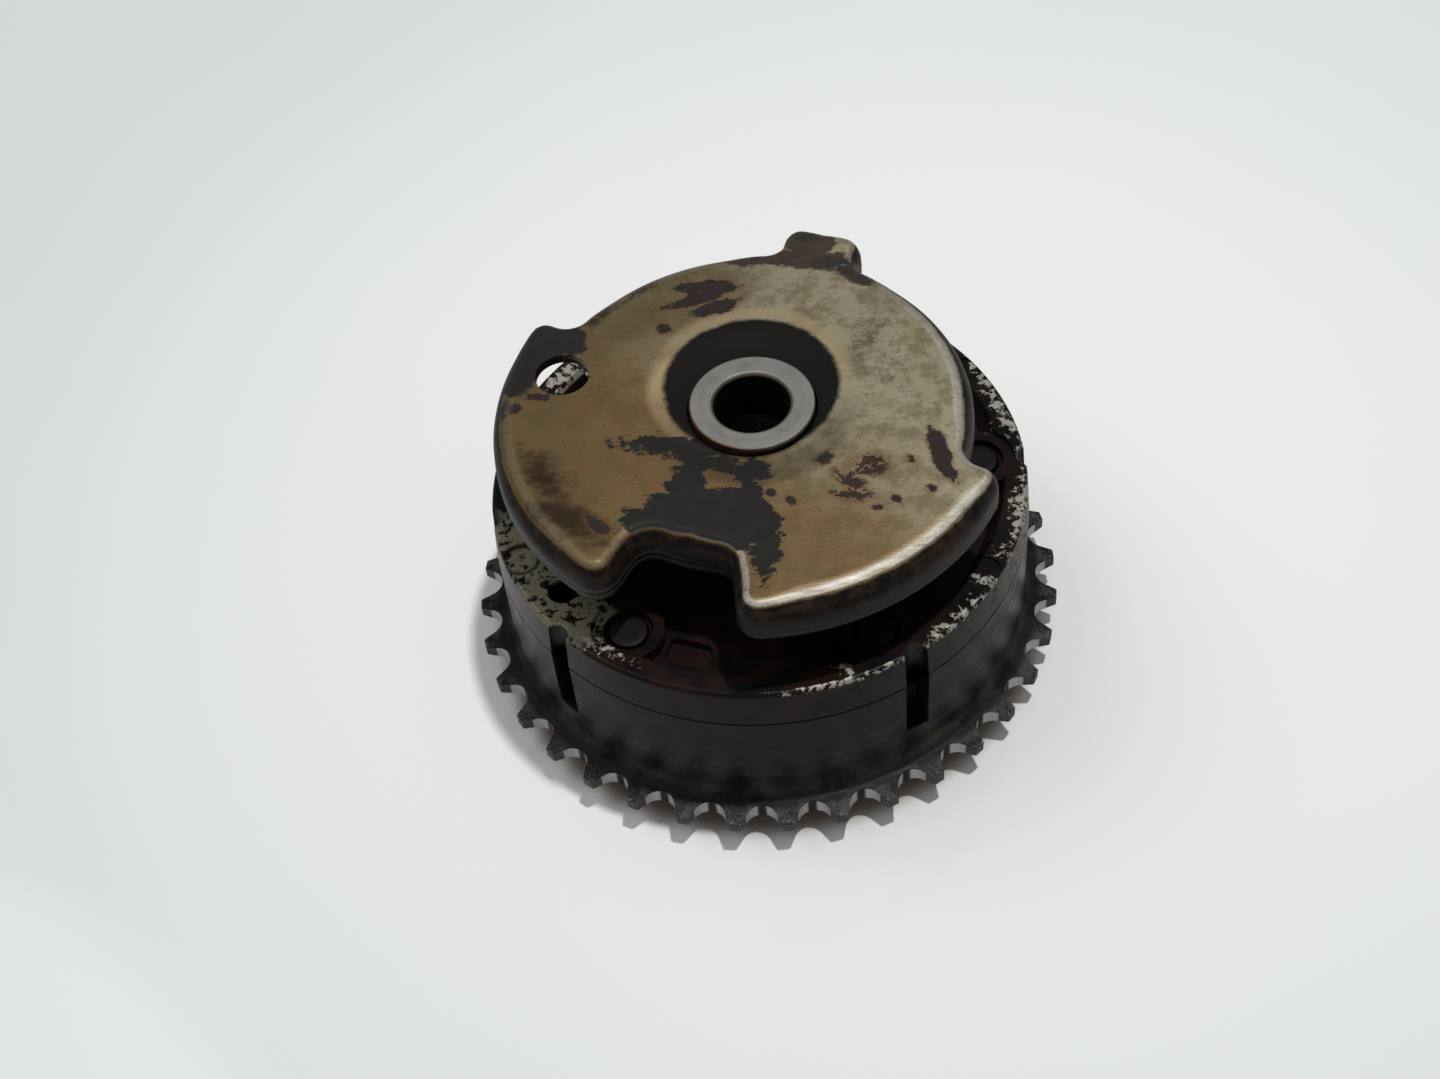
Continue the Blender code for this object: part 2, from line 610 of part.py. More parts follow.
def build_rotor(kit):
    """Rotor hub with the wide lobe, vane slots, locking bore and oil ports."""
    profile = [
        (BOLT_BORE_R, ROTOR_Z1),
        (ROTOR_R, ROTOR_Z1),
        (ROTOR_R, ROTOR_Z0),
        (PILOT_R, ROTOR_Z0),
        (PILOT_R, PILOT_Z1),
        (BOLT_BORE_R, PILOT_Z1),
    ]
    rotor = kit.turned("rotor", profile, material="rotor_steel")
    half = 0.5 * LOBE_WIDTH
    lobe = sector_outline(ROTOR_R - CUT_MARGIN, LOBE_R, LOBE_AZ - half, LOBE_AZ + half)
    kit.join(rotor, kit.prisms("lobe_form", [lobe], ROTOR_Z0, ROTOR_Z1, kit.cutters))
    reach = ROTOR_R + CUT_MARGIN
    slots = [slot_box(a, 0.5 * VANE_T + SLIDE_GAP, VANE_SLOT_R, reach) for a in VANE_AZ]
    slots.append(slot_box(SEAL_AZ, 0.5 * SEAL_T + SLIDE_GAP, SEAL_SLOT_R, LOBE_R + CUT_MARGIN))
    kit.cut(rotor, kit.prisms("vane_slot_cutter", slots, ROTOR_Z0 - CUT_MARGIN,
                              ROTOR_Z1 + CUT_MARGIN, kit.cutters))
    lock = polar(LOCK_RING_R, LOBE_AZ)
    kit.cut(rotor, kit.rods("lock_bore_cutter", [lock], LOCK_BORE_R, ROTOR_Z0 - CUT_MARGIN,
                            LOCK_BORE_TOP, group=kit.cutters))
    kit.cut(rotor, kit.rods("lock_vent_cutter", [lock], LOCK_VENT_R, LOCK_BORE_TOP - CUT_MARGIN,
                            ROTOR_Z1 + CUT_MARGIN, steps=PORT_STEPS, group=kit.cutters))
    bm = bmesh.new()
    centres = [(a, PORT_OFFSET_DEG) for a in VANE_AZ]
    centres.append((LOBE_AZ, half + PORT_EDGE_DEG))
    length = ROTOR_R - PILOT_R + 2.0 * CUT_MARGIN
    for centre, offset in centres:
        for side, level in zip((-1.0, 1.0), PORT_Z):
            azimuth = centre + side * offset
            spot = polar(0.5 * (PILOT_R + ROTOR_R), azimuth, level)
            place = Matrix.Translation(spot * MM)
            place = place @ Matrix.Rotation(azimuth * DEG, 4, 'Z')
            place = place @ Matrix.Rotation(0.5 * math.pi, 4, 'Y')
            bmesh.ops.create_cone(bm, cap_ends=True, cap_tris=False, segments=PORT_STEPS,
                                  radius1=PORT_R * MM, radius2=PORT_R * MM,
                                  depth=length * MM, matrix=place)
    mesh = bpy.data.meshes.new("port_cutter")
    bm.to_mesh(mesh)
    bm.free()
    kit.cut(rotor, kit.add("port_cutter", mesh, kit.cutters))
    return rotor


def leaf_spring(kit, name, azimuth, r_mid):
    """Bowed strip that presses a vane or seal outwards, lying along the axis."""
    bm = bmesh.new()
    length = ROTOR_Z1 - ROTOR_Z0 - 2.0 * LEAF_END_GAP
    rows = []
    for i in range(LEAF_STEPS + 1):
        t = 2.0 * i / LEAF_STEPS - 1.0
        x = LEAF_BOW * (0.5 - t * t)
        z = 0.5 * length * t
        rows.append([bm.verts.new((x * MM, s * 0.5 * LEAF_W * MM, z * MM)) for s in (-1, 1)])
    for low, high in zip(rows, rows[1:]):
        bm.faces.new((low[0], low[1], high[1], high[0]))
    mesh = bpy.data.meshes.new(name)
    bm.to_mesh(mesh)
    bm.free()
    spot = polar(r_mid, azimuth, 0.5 * (ROTOR_Z0 + ROTOR_Z1))
    obj = kit.add(name, mesh, material="spring_steel", location=spot, spin=azimuth)
    shell = obj.modifiers.new("thickness", 'SOLIDIFY')
    shell.thickness = LEAF_T * MM
    shell.offset = 0.0
    return obj


def build_vanes(kit):
    """Four sliding vanes, the lobe's tip seal, and the leaf springs behind them."""
    depth = ROTOR_Z1 - ROTOR_Z0
    mid_z = 0.5 * (ROTOR_Z0 + ROTOR_Z1)
    for k, azimuth in enumerate(VANE_AZ):
        vane = kit.block(f"vane_{k + 1}", (LOBE_R - VANE_R0, VANE_T, depth),
                         polar(0.5 * (LOBE_R + VANE_R0), azimuth, mid_z), azimuth,
                         material="vane_steel")
        bevel(vane, VANE_BREAK)
        leaf_spring(kit, f"vane_spring_{k + 1}", azimuth, 0.5 * (VANE_SLOT_R + VANE_R0))
    seal = kit.block("lobe_seal", (SEAL_H, SEAL_T, depth),
                     polar(SEAL_R0 + 0.5 * SEAL_H, SEAL_AZ, mid_z), SEAL_AZ,
                     material="seal_polymer")
    bevel(seal, SEAL_BREAK)
    leaf_spring(kit, "lobe_seal_spring", SEAL_AZ, 0.5 * (SEAL_SLOT_R + SEAL_R0))


def build_lock(kit):
    """Locking pin drawn back flush in the lobe, its spring and its seat bush."""
    spot = polar(LOCK_RING_R, LOBE_AZ)
    edge = EDGE_BREAK
    pin_top = ROTOR_Z0 + LOCK_PIN_L
    pin_floor = ROTOR_Z0 + LOCK_PIN_NOSE
    inner = LOCK_PIN_R - LOCK_PIN_WALL
    pin = [
        (0.0, pin_floor),
        (inner, pin_floor),
        (inner, pin_top),
        (LOCK_PIN_R - edge, pin_top),
        (LOCK_PIN_R, pin_top - edge),
        (LOCK_PIN_R, ROTOR_Z0 + 2.0 * edge),
        (LOCK_PIN_R - edge, ROTOR_Z0),
        (0.0, ROTOR_Z0),
    ]
    kit.turned("locking_pin", pin, steps=SMALL_STEPS, material="pin_steel",
               location=spot, closed=False)
    seat_floor = LOCK_SEAT_Z0 + LOCK_SEAT_FLOOR
    seat = [
        (0.0, seat_floor),
        (LOCK_SEAT_BORE_R, seat_floor),
        (LOCK_SEAT_BORE_R, REAR_PLATE_Z1),
        (LOCK_SEAT_R, REAR_PLATE_Z1),
        (LOCK_SEAT_R, LOCK_SEAT_Z0),
        (0.0, LOCK_SEAT_Z0),
    ]
    kit.turned("locking_pin_seat", seat, steps=SMALL_STEPS, material="pin_steel",
               location=spot, closed=False)
    low = pin_floor + LOCK_WIRE_R + PART_GAP
    high = LOCK_BORE_TOP - LOCK_WIRE_R - PART_GAP
    curve = bpy.data.curves.new("locking_spring", 'CURVE')
    curve.dimensions = '3D'
    curve.bevel_depth = LOCK_WIRE_R * MM
    curve.bevel_resolution = 1
    curve.use_fill_caps = True
    total = LOCK_TURNS * COIL_STEPS
    spline = curve.splines.new('POLY')
    spline.points.add(total)
    for i in range(total + 1):
        angle = 2.0 * math.pi * i / COIL_STEPS
        z = low + (high - low) * i / total
        spline.points[i].co = (LOCK_COIL_R * math.cos(angle) * MM,
                               LOCK_COIL_R * math.sin(angle) * MM, z * MM, 1.0)
    coil = bpy.data.objects.new("locking_spring", curve)
    coil.location = spot * MM
    kit.parts.objects.link(coil)
    curve.materials.append(kit.materials["spring_steel"])


# Hub sleeve, trigger wheel
def build_hub_sleeve(kit):
    """Turned sleeve from the rotor to the bolt seat, with the wheel's shoulder."""
    bottom = ROTOR_Z1 + PART_GAP
    relief = SHOULDER_Z - RELIEF_DROP
    profile = [
        (RING_BORE_R + RING_CHAMFER, TOP_Z),
        (RING_R - RING_BREAK, TOP_Z),
        (RING_R, TOP_Z - RING_BREAK),
        (RING_R, SHOULDER_Z),
        (NECK_R, SHOULDER_Z),
        (NECK_R, bottom),
        (NECK_BORE_R, bottom),
        (NECK_BORE_R, relief - RELIEF_TAPER),
        (RING_BORE_R, relief),
        (RING_BORE_R, TOP_Z - RING_CHAMFER),
    ]
    return kit.turned("hub_sleeve", profile, steps=HUB_STEPS, material="hub_steel")


def side_direction(here, there):
    """Direction in which the side from one corner towards another leaves it."""
    (p, a, r, _), (q, b, s, _) = here, there
    if not math.isclose(r, s):
        return (q - p).normalized()
    turn = math.copysign(1.0, (b - a + 180.0) % 360.0 - 180.0)
    return polar(turn, a + 90.0).to_2d()


def rounded_outline():
    """Wheel outline: arcs and walls between the corners, each corner rounded."""
    corners = [(polar(r, a).to_2d(), a, r, f) for a, r, f in WHEEL_CORNERS]
    count = len(corners)
    reaches = []
    for i, here in enumerate(corners):
        back = side_direction(here, corners[i - 1])
        ahead = side_direction(here, corners[(i + 1) % count])
        reaches.append((back, ahead, here[3] / math.tan(0.5 * back.angle(ahead))))
    points = []
    for i, here in enumerate(corners):
        back, ahead, reach = reaches[i]
        bisector = (back + ahead).normalized()
        centre = here[0] + bisector * math.hypot(reach, here[3])
        start = (here[0] + back * reach - centre).normalized()
        end = (here[0] + ahead * reach - centre).normalized()
        for k in range(CORNER_SEGMENTS + 1):
            points.append(centre + start.slerp(end, k / CORNER_SEGMENTS) * here[3])
        after = corners[(i + 1) % count]
        if math.isclose(here[2], after[2]):
            trim_a = reach / here[2] / DEG
            trim_b = reaches[(i + 1) % count][2] / after[2] / DEG
            free = (after[1] - here[1]) % 360.0 - trim_a - trim_b
            steps = max(1, round(free / ARC_STEP_DEG))
            for k in range(1, steps):
                points.append(polar(here[2], here[1] + trim_a + free * k / steps).to_2d())
    return points


def inset(points, distance):
    """Outline moved inwards along its own normals."""
    moved = []
    count = len(points)
    for i, p in enumerate(points):
        before = (p - points[i - 1]).normalized()
        after = (points[(i + 1) % count] - p).normalized()
        tangent = (before + after).normalized()
        normal = Vector((-tangent.y, tangent.x))
        scale = 1.0 / max(0.5, math.sqrt(0.5 * (1.0 + before.dot(after))))
        moved.append(p + normal * distance * scale)
    return moved


def build_trigger_wheel(kit):
    """Drawn sheet wheel: dished centre, flat top, bent rim and skirt."""
    bm = bmesh.new()
    outline = rounded_outline()

    def ring(points, z):
        return [bm.verts.new((p[0] * MM, p[1] * MM, z * MM)) for p in points]

    def circle(radius, z, steps, centre=Vector((0.0, 0.0))):
        spots = [polar(radius, 360.0 * i / steps).to_2d() + centre for i in range(steps)]
        return ring(spots, z)

    def band(upper, lower):
        count = len(upper)
        for i in range(count):
            j = (i + 1) % count
            bm.faces.new((upper[i], lower[i], lower[j], upper[j]))

    def loop_edges(loop):
        return [bm.edges.get((a, b)) or bm.edges.new((a, b))
                for a, b in zip(loop, loop[1:] + loop[:1])]

    skirt = [ring(inset(outline, BEND_R), TOP_Z)]
    for angle in (45.0, 90.0):
        inward = BEND_R * (1.0 - math.sin(angle * DEG))
        drop = BEND_R * (1.0 - math.cos(angle * DEG))
        skirt.append(ring(inset(outline, inward) if inward > 1e-6 else outline, TOP_Z - drop))
    skirt.append(ring(outline, TOP_Z - SKIRT_H))
    for upper, lower in zip(skirt, skirt[1:]):
        band(upper, lower)
    slope_r = 0.5 * (DISH_R + DISH_FLOOR_R)
    floor_z = TOP_Z - DISH_DEPTH
    dish = [
        circle(WHEEL_BORE_R, floor_z, HUB_STEPS),
        circle(DISH_FLOOR_R, floor_z, HUB_STEPS),
        circle(slope_r, TOP_Z - 0.55 * DISH_DEPTH, HUB_STEPS),
        circle(DISH_R - DISH_BLEND, TOP_Z - 0.10 * DISH_DEPTH, HUB_STEPS),
        circle(DISH_R + DISH_BLEND, TOP_Z, HUB_STEPS),
    ]
    for inner, outer in zip(dish, dish[1:]):
        band(inner, outer)
    centre = polar(SIGHT_RING_R, SIGHT_HOLE_AZ).to_2d()
    hole = circle(SIGHT_HOLE_R, TOP_Z, SMALL_STEPS, centre)
    flat = loop_edges(skirt[0]) + loop_edges(dish[-1]) + loop_edges(hole)
    bmesh.ops.triangle_fill(bm, use_beauty=True, use_dissolve=False, edges=flat)
    bmesh.ops.recalc_face_normals(bm, faces=bm.faces)
    top = max(bm.faces, key=lambda f: f.calc_center_median().z * f.calc_area())
    if top.normal.z < 0.0:
        bmesh.ops.reverse_faces(bm, faces=bm.faces)
    mesh = bpy.data.meshes.new("trigger_wheel")
    bm.to_mesh(mesh)
    bm.free()
    wheel = kit.add("trigger_wheel", mesh, material="wheel_sheet")
    shell = wheel.modifiers.new("sheet", 'SOLIDIFY')
    shell.thickness = SHEET_T * MM
    shell.offset = -1.0
    shell.use_even_offset = True
    return wheel


# Main
def group_pieces(kit):
    """Hang the moving pieces on empties that stand on their joint axes."""
    housing = bpy.data.objects.new("housing_axis", None)
    rotor_axis = bpy.data.objects.new("rotor_axis", None)
    for empty in (housing, rotor_axis):
        kit.parts.objects.link(empty)
    turning = ("rotor", "vane", "lobe", "locking_pin", "locking_spring", "hub", "trigger")
    for obj in list(kit.parts.objects):
        if obj.type == 'EMPTY':
            continue
        moving = obj.name.startswith(turning) and obj.name != "locking_pin_seat"
        obj.parent = rotor_axis if moving else housing


def main():
    """Build the whole phaser."""
    clear_scene()
    kit = Builder()
    kit.material("stator_steel", (0.060, 0.058, 0.056), 0.42, 0.75)
    kit.material("cover_casting", (0.045, 0.036, 0.033), 0.50, 0.45)
    kit.material("rear_cover_steel", (0.080, 0.078, 0.075), 0.45, 0.80)
    kit.material("rotor_steel", (0.230, 0.225, 0.220), 0.40, 0.90)
    kit.material("vane_steel", (0.320, 0.320, 0.320), 0.30, 0.95)
    kit.material("spring_steel", (0.300, 0.290, 0.270), 0.35, 0.95)
    kit.material("seal_polymer", (0.040, 0.036, 0.032), 0.60, 0.00)
    kit.material("pin_steel", (0.380, 0.380, 0.380), 0.28, 0.95)
    kit.material("screw_steel", (0.050, 0.047, 0.045), 0.45, 0.75)
    kit.material("hub_steel", (0.560, 0.565, 0.570), 0.30, 0.95)
    kit.material("wheel_sheet", (0.240, 0.200, 0.130), 0.40, 0.75)
    build_stator(kit)
    build_front_cover(kit)
    build_rear_cover(kit)
    build_screws(kit)
    build_dowel(kit)
    build_rotor(kit)
    build_vanes(kit)
    build_lock(kit)
    build_hub_sleeve(kit)
    build_trigger_wheel(kit)
    group_pieces(kit)


main()
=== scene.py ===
"""Looks of the camshaft phaser: smooth pieces, worn finishes, floor, light and camera.

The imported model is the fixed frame.  Lengths in the fields are millimetres in the
frame's own axes: +Z along the axis of rotation, Z = 0 under the rear collar.
"""

import logging
import math
from dataclasses import dataclass, field
from enum import Enum

import bmesh
import bpy
from bpy.types import Material, Node, NodeSocket, Object
from mathutils import Matrix, Vector


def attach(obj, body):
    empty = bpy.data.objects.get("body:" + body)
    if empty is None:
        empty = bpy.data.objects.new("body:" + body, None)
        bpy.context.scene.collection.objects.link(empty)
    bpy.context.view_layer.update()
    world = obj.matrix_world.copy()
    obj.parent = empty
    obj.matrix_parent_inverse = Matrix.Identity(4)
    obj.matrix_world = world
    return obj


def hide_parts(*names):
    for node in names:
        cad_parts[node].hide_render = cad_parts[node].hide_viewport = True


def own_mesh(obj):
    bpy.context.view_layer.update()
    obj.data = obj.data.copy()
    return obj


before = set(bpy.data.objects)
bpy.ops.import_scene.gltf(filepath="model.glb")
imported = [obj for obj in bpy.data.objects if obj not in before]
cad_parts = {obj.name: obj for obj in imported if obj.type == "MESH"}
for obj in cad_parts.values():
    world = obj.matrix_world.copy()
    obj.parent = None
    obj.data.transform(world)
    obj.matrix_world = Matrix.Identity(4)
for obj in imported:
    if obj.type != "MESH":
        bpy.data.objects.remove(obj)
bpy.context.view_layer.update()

MM = 0.001
log = logging.getLogger("phaser")
Point = tuple[float, float]
Triple = tuple[float, float, float]
Colour = Triple


class Body(Enum):
    """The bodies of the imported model."""

    HOUSING = "housing"
    ROTOR = "rotor"
    PIN = "locking_pin"


class Cut(Enum):
    """How one solid works on another."""

    TAKE = "DIFFERENCE"
    JOIN = "UNION"


@dataclass(frozen=True)
class Datum:
    """Sizes that several sub-assemblies share."""

    housing_r: float = 41.495
    chamber_r: float = 35.995
    rotor_r: float = 21.995
    recess_r: float = 39.495
    sprocket_z0: float = 4.0
    sprocket_z1: float = 6.8
    plate_z1: float = 7.85
    inner_z0: float = 8.15
    inner_z1: float = 25.15
    cover_z0: float = 25.45
    cover_z1: float = 32.0
    top_z: float = 48.7
    ring_r: float = 9.34
    ring_bore_r: float = 5.7
    neck_r: float = 12.0
    neck_bore_r: float = 6.6
    shoulder_z: float = 44.0
    screw_ring_r: float = 33.995
    dowel_ring_r: float = 35.795
    dowel_azimuth: float = 210.6
    screw_azimuths: tuple[float, ...] = (230.6, 294.6, 358.6, 62.6, 126.6)
    slot_azimuths: tuple[float, ...] = (183.5, 218.7, 298.0, 357.7)
    slot_width: float = 4.0
    pad_azimuths: tuple[float, ...] = (197.1, 261.6, 323.5, 26.6, 90.6)
    pad_r: float = 2.7
    screw_hole_r: float = 3.1
    dowel_hole_r: float = 2.3
    margin: float = 1.0

    def screw_spots(self) -> list[Point]:
        """Plan positions of the cover's screws."""
        return [polar(self.screw_ring_r, a) for a in self.screw_azimuths]

    def dowel_spot(self) -> list[Point]:
        """Plan position of the dowel."""
        return [polar(self.dowel_ring_r, self.dowel_azimuth)]

    def slot_spots(self) -> list[Point]:
        """Plan positions of the outside slots, on the housing's edge."""
        return [polar(self.housing_r, a) for a in self.slot_azimuths]


DATUM = Datum()


def polar(radius: float, azimuth: float) -> Point:
    """Plan point at a radius and an azimuth in degrees."""
    turn = math.radians(azimuth)
    return radius * math.cos(turn), radius * math.sin(turn)


def ring_points(radius: float, steps: int, centre: Point = (0.0, 0.0)) -> list[Point]:
    """Evenly spaced plan points of a circle, counter-clockwise."""
    angles = (2.0 * math.pi * k / steps for k in range(steps))
    return [(centre[0] + radius * math.cos(a), centre[1] + radius * math.sin(a)) for a in angles]


def sector(r_in: float, r_out: float, start: float, end: float, step: float = 1.5) -> list[Point]:
    """Plan outline of a ring sector, counter-clockwise."""
    count = max(2, round((end - start) / step))
    spread = [start + (end - start) * k / count for k in range(count + 1)]
    return [polar(r_out, a) for a in spread] + [polar(r_in, a) for a in reversed(spread)]


class Workshop:
    """Mesh operations.  Meshes stay in millimetres until in_metres() has scaled them.

    The boolean solver closes small faces badly in metres.
    """

    merge: float = 0.002

    @staticmethod
    def piece(name: str, bm: bmesh.types.BMesh) -> Object:
        """Turn a bmesh into a scene object."""
        mesh = bpy.data.meshes.new(name)
        bm.to_mesh(mesh)
        bm.free()
        obj = bpy.data.objects.new(name, mesh)
        bpy.context.scene.collection.objects.link(obj)
        return obj

    @staticmethod
    def bake(obj: Object) -> Object:
        """Write the modifiers of an object into its mesh."""
        graph = bpy.context.evaluated_depsgraph_get()
        mesh = bpy.data.meshes.new_from_object(obj.evaluated_get(graph))
        old = obj.data
        obj.modifiers.clear()
        obj.data = mesh
        bpy.data.meshes.remove(old)
        return obj

    @staticmethod
    def band(bm: bmesh.types.BMesh, upper: list, lower: list) -> None:
        """Faces between two closed rings, of which one may be a single point."""
        count = max(len(upper), len(lower))
        for k in range(count):
            j = (k + 1) % count
            corners = (upper[k % len(upper)], lower[k % len(lower)],
                       lower[j % len(lower)], upper[j % len(upper)])
            bm.faces.new(list(dict.fromkeys(corners)))

    @classmethod
    def lathe(cls, name: str, profile: list[Point], steps: int = 288, closed: bool = True,
              centre: Point = (0.0, 0.0)) -> Object:
        """Turn a half section about an upright axis.

        Args:
            name: name of the piece.
            profile: points (radius, z) down the outer side.
            steps: columns round the axis.
            closed: False where the section starts and ends on the axis.
            centre: plan position of the axis.

        Returns:
            The new object.
        """
        bm = bmesh.new()
        rings = []
        for radius, z in profile:
            plan = [centre] if radius < cls.merge else ring_points(radius, steps, centre)
            rings.append([bm.verts.new((x, y, z)) for x, y in plan])
        for upper, lower in zip(rings, rings[1:] + rings[:1] if closed else rings[1:]):
            cls.band(bm, upper, lower)
        bmesh.ops.recalc_face_normals(bm, faces=bm.faces)
        return cls.piece(name, bm)

    @classmethod
    def slab(cls, name: str, outlines: list[list[Point]], z0: float, z1: float) -> Object:
        """Extrude plan outlines, each into a solid of its own, in one mesh."""
        bm = bmesh.new()
        for outline in outlines:
            floor, roof = ([bm.verts.new((x, y, z)) for x, y in outline] for z in (z0, z1))
            bm.faces.new(floor[::-1])
            bm.faces.new(roof)
            cls.band(bm, roof, floor)
        bmesh.ops.recalc_face_normals(bm, faces=bm.faces)
        return cls.piece(name, bm)

    @classmethod
    def posts(cls, name: str, spots: list[Point], radius: float, z0: float, z1: float,
              steps: int = 48) -> Object:
        """Upright cylinders at the spots, in one mesh."""
        return cls.slab(name, [ring_points(radius, steps, spot) for spot in spots], z0, z1)

    @classmethod
    def carve(cls, obj: Object, tool: Object, how: Cut = Cut.TAKE) -> None:
        """Take a tool away from an object, or join it to the object, and drop the tool."""
        mod = obj.modifiers.new("carve", 'BOOLEAN')
        mod.operation = how.value
        mod.solver = 'EXACT'
        mod.object = tool
        cls.bake(obj)
        bpy.data.objects.remove(tool, do_unlink=True)
        cls.clean(obj)

    @classmethod
    def clean(cls, obj: Object) -> None:
        """Merge the points and drop the slivers that a boolean leaves."""
        bm = bmesh.new()
        bm.from_mesh(obj.data)
        bmesh.ops.remove_doubles(bm, verts=bm.verts, dist=cls.merge)
        bmesh.ops.dissolve_degenerate(bm, dist=cls.merge, edges=bm.edges)
        bm.to_mesh(obj.data)
        bm.free()

    @staticmethod
    def attach(obj: Object, part: Object) -> None:
        """Add the closed mesh of a part to an object, as one piece."""
        bm = bmesh.new()
        bm.from_mesh(obj.data)
        bm.from_mesh(part.data)
        bm.to_mesh(obj.data)
        bm.free()
        bpy.data.objects.remove(part, do_unlink=True)

    @staticmethod
    def in_metres(obj: Object) -> None:
        """Scale a finished mesh from millimetres to metres."""
        obj.data.transform(Matrix.Scale(MM, 4))

    @classmethod
    def soften(cls, obj: Object, width: float, segments: int = 2,
               angle: float = 32.0) -> None:
        """Round the edges that are sharper than an angle in degrees."""
        mod = obj.modifiers.new("soften", 'BEVEL')
        mod.width = width
        mod.segments = segments
        mod.limit_method = 'ANGLE'
        mod.angle_limit = math.radians(angle)
        mod.use_clamp_overlap = True
        cls.bake(obj)

    @classmethod
    def polish(cls, obj: Object, angle: float = 40.0) -> None:
        """Scale to metres and shade smoothly, apart from the edges that stay sharp."""
        cls.in_metres(obj)
        obj.data.polygons.foreach_set("use_smooth", [True] * len(obj.data.polygons))
        obj.data.set_sharp_from_angle(angle=math.radians(angle))
        mod = obj.modifiers.new("weigh", 'WEIGHTED_NORMAL')
        mod.keep_sharp = True
        mod.weight = 80
        cls.bake(obj)


def enrol(obj: Object, body: Body, nodes: list[str],
          finish: Material) -> Object:
    """Put a finished piece on its body, in place of its nodes.

    Args:
        obj: the piece.
        body: the body that it rides on.
        nodes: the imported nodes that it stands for.
        finish: its material.

    Returns:
        The piece.
    """
    obj.data.materials.clear()
    obj.data.materials.append(finish)
    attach(obj, body.value)
    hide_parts(*nodes)
    log.info("%s: %d faces, on %s", obj.name, len(obj.data.polygons), body.value)
    return obj


def redress(node: str, finish: Material) -> None:
    """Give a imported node, whose shape is right as it is, a finish."""
    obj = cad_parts[node]
    for slot in obj.material_slots:
        slot.material = finish
    if not obj.material_slots:
        obj.data.materials.append(finish)
    log.info("%s: refinished", node)


class Term:
    """A value in a shader: an output socket that takes part in Python arithmetic."""

    def __init__(self, bench: "Bench", socket: NodeSocket) -> None:
        """Wrap an output socket of a bench."""
        self.bench = bench
        self.socket = socket

    def _math(self, operation: str, *values: "Term | float") -> "Term":
        """Add one Math node."""
        node = self.bench.node("ShaderNodeMath", {"operation": operation}, dict(enumerate(values)))
        return Term(self.bench, node.outputs[0])

    def __add__(self, other: "Term | float") -> "Term":
        """Sum."""
        return self._math('ADD', self, other)

    __radd__ = __add__

    def __sub__(self, other: "Term | float") -> "Term":
        """Difference."""
        return self._math('SUBTRACT', self, other)

    def __rsub__(self, other: float) -> "Term":
        """Difference from a number."""
        return self._math('SUBTRACT', other, self)

    def __mul__(self, other: "Term | float") -> "Term":
        """Product."""
        return self._math('MULTIPLY', self, other)

    __rmul__ = __mul__

    def __truediv__(self, other: "Term | float") -> "Term":
        """Quotient."""
        return self._math('DIVIDE', self, other)

    def __pow__(self, other: float) -> "Term":
        """Power."""
        return self._math('POWER', self, other)

    def most(self, other: "Term | float") -> "Term":
        """The larger of two values."""
        return self._math('MAXIMUM', self, other)

    def least(self, other: "Term | float") -> "Term":
        """The smaller of two values."""
        return self._math('MINIMUM', self, other)

    def size(self) -> "Term":
        """The value without its sign."""
        return self._math('ABSOLUTE', self)

    def ramp(self, low: float, high: float) -> "Term":
        """Smooth step that is 0 at low and 1 at high."""
        node = self.bench.node("ShaderNodeMapRange", {"interpolation_type": 'SMOOTHSTEP'},
                               {"Value": self, "From Min": low, "From Max": high})
        return Term(self.bench, node.outputs[0])

    def between(self, low: float, high: float, soft: float) -> "Term":
        """1 inside a span and 0 outside, with soft ends."""
        return self.ramp(low - soft, low + soft) * (1.0 - self.ramp(high - soft, high + soft))


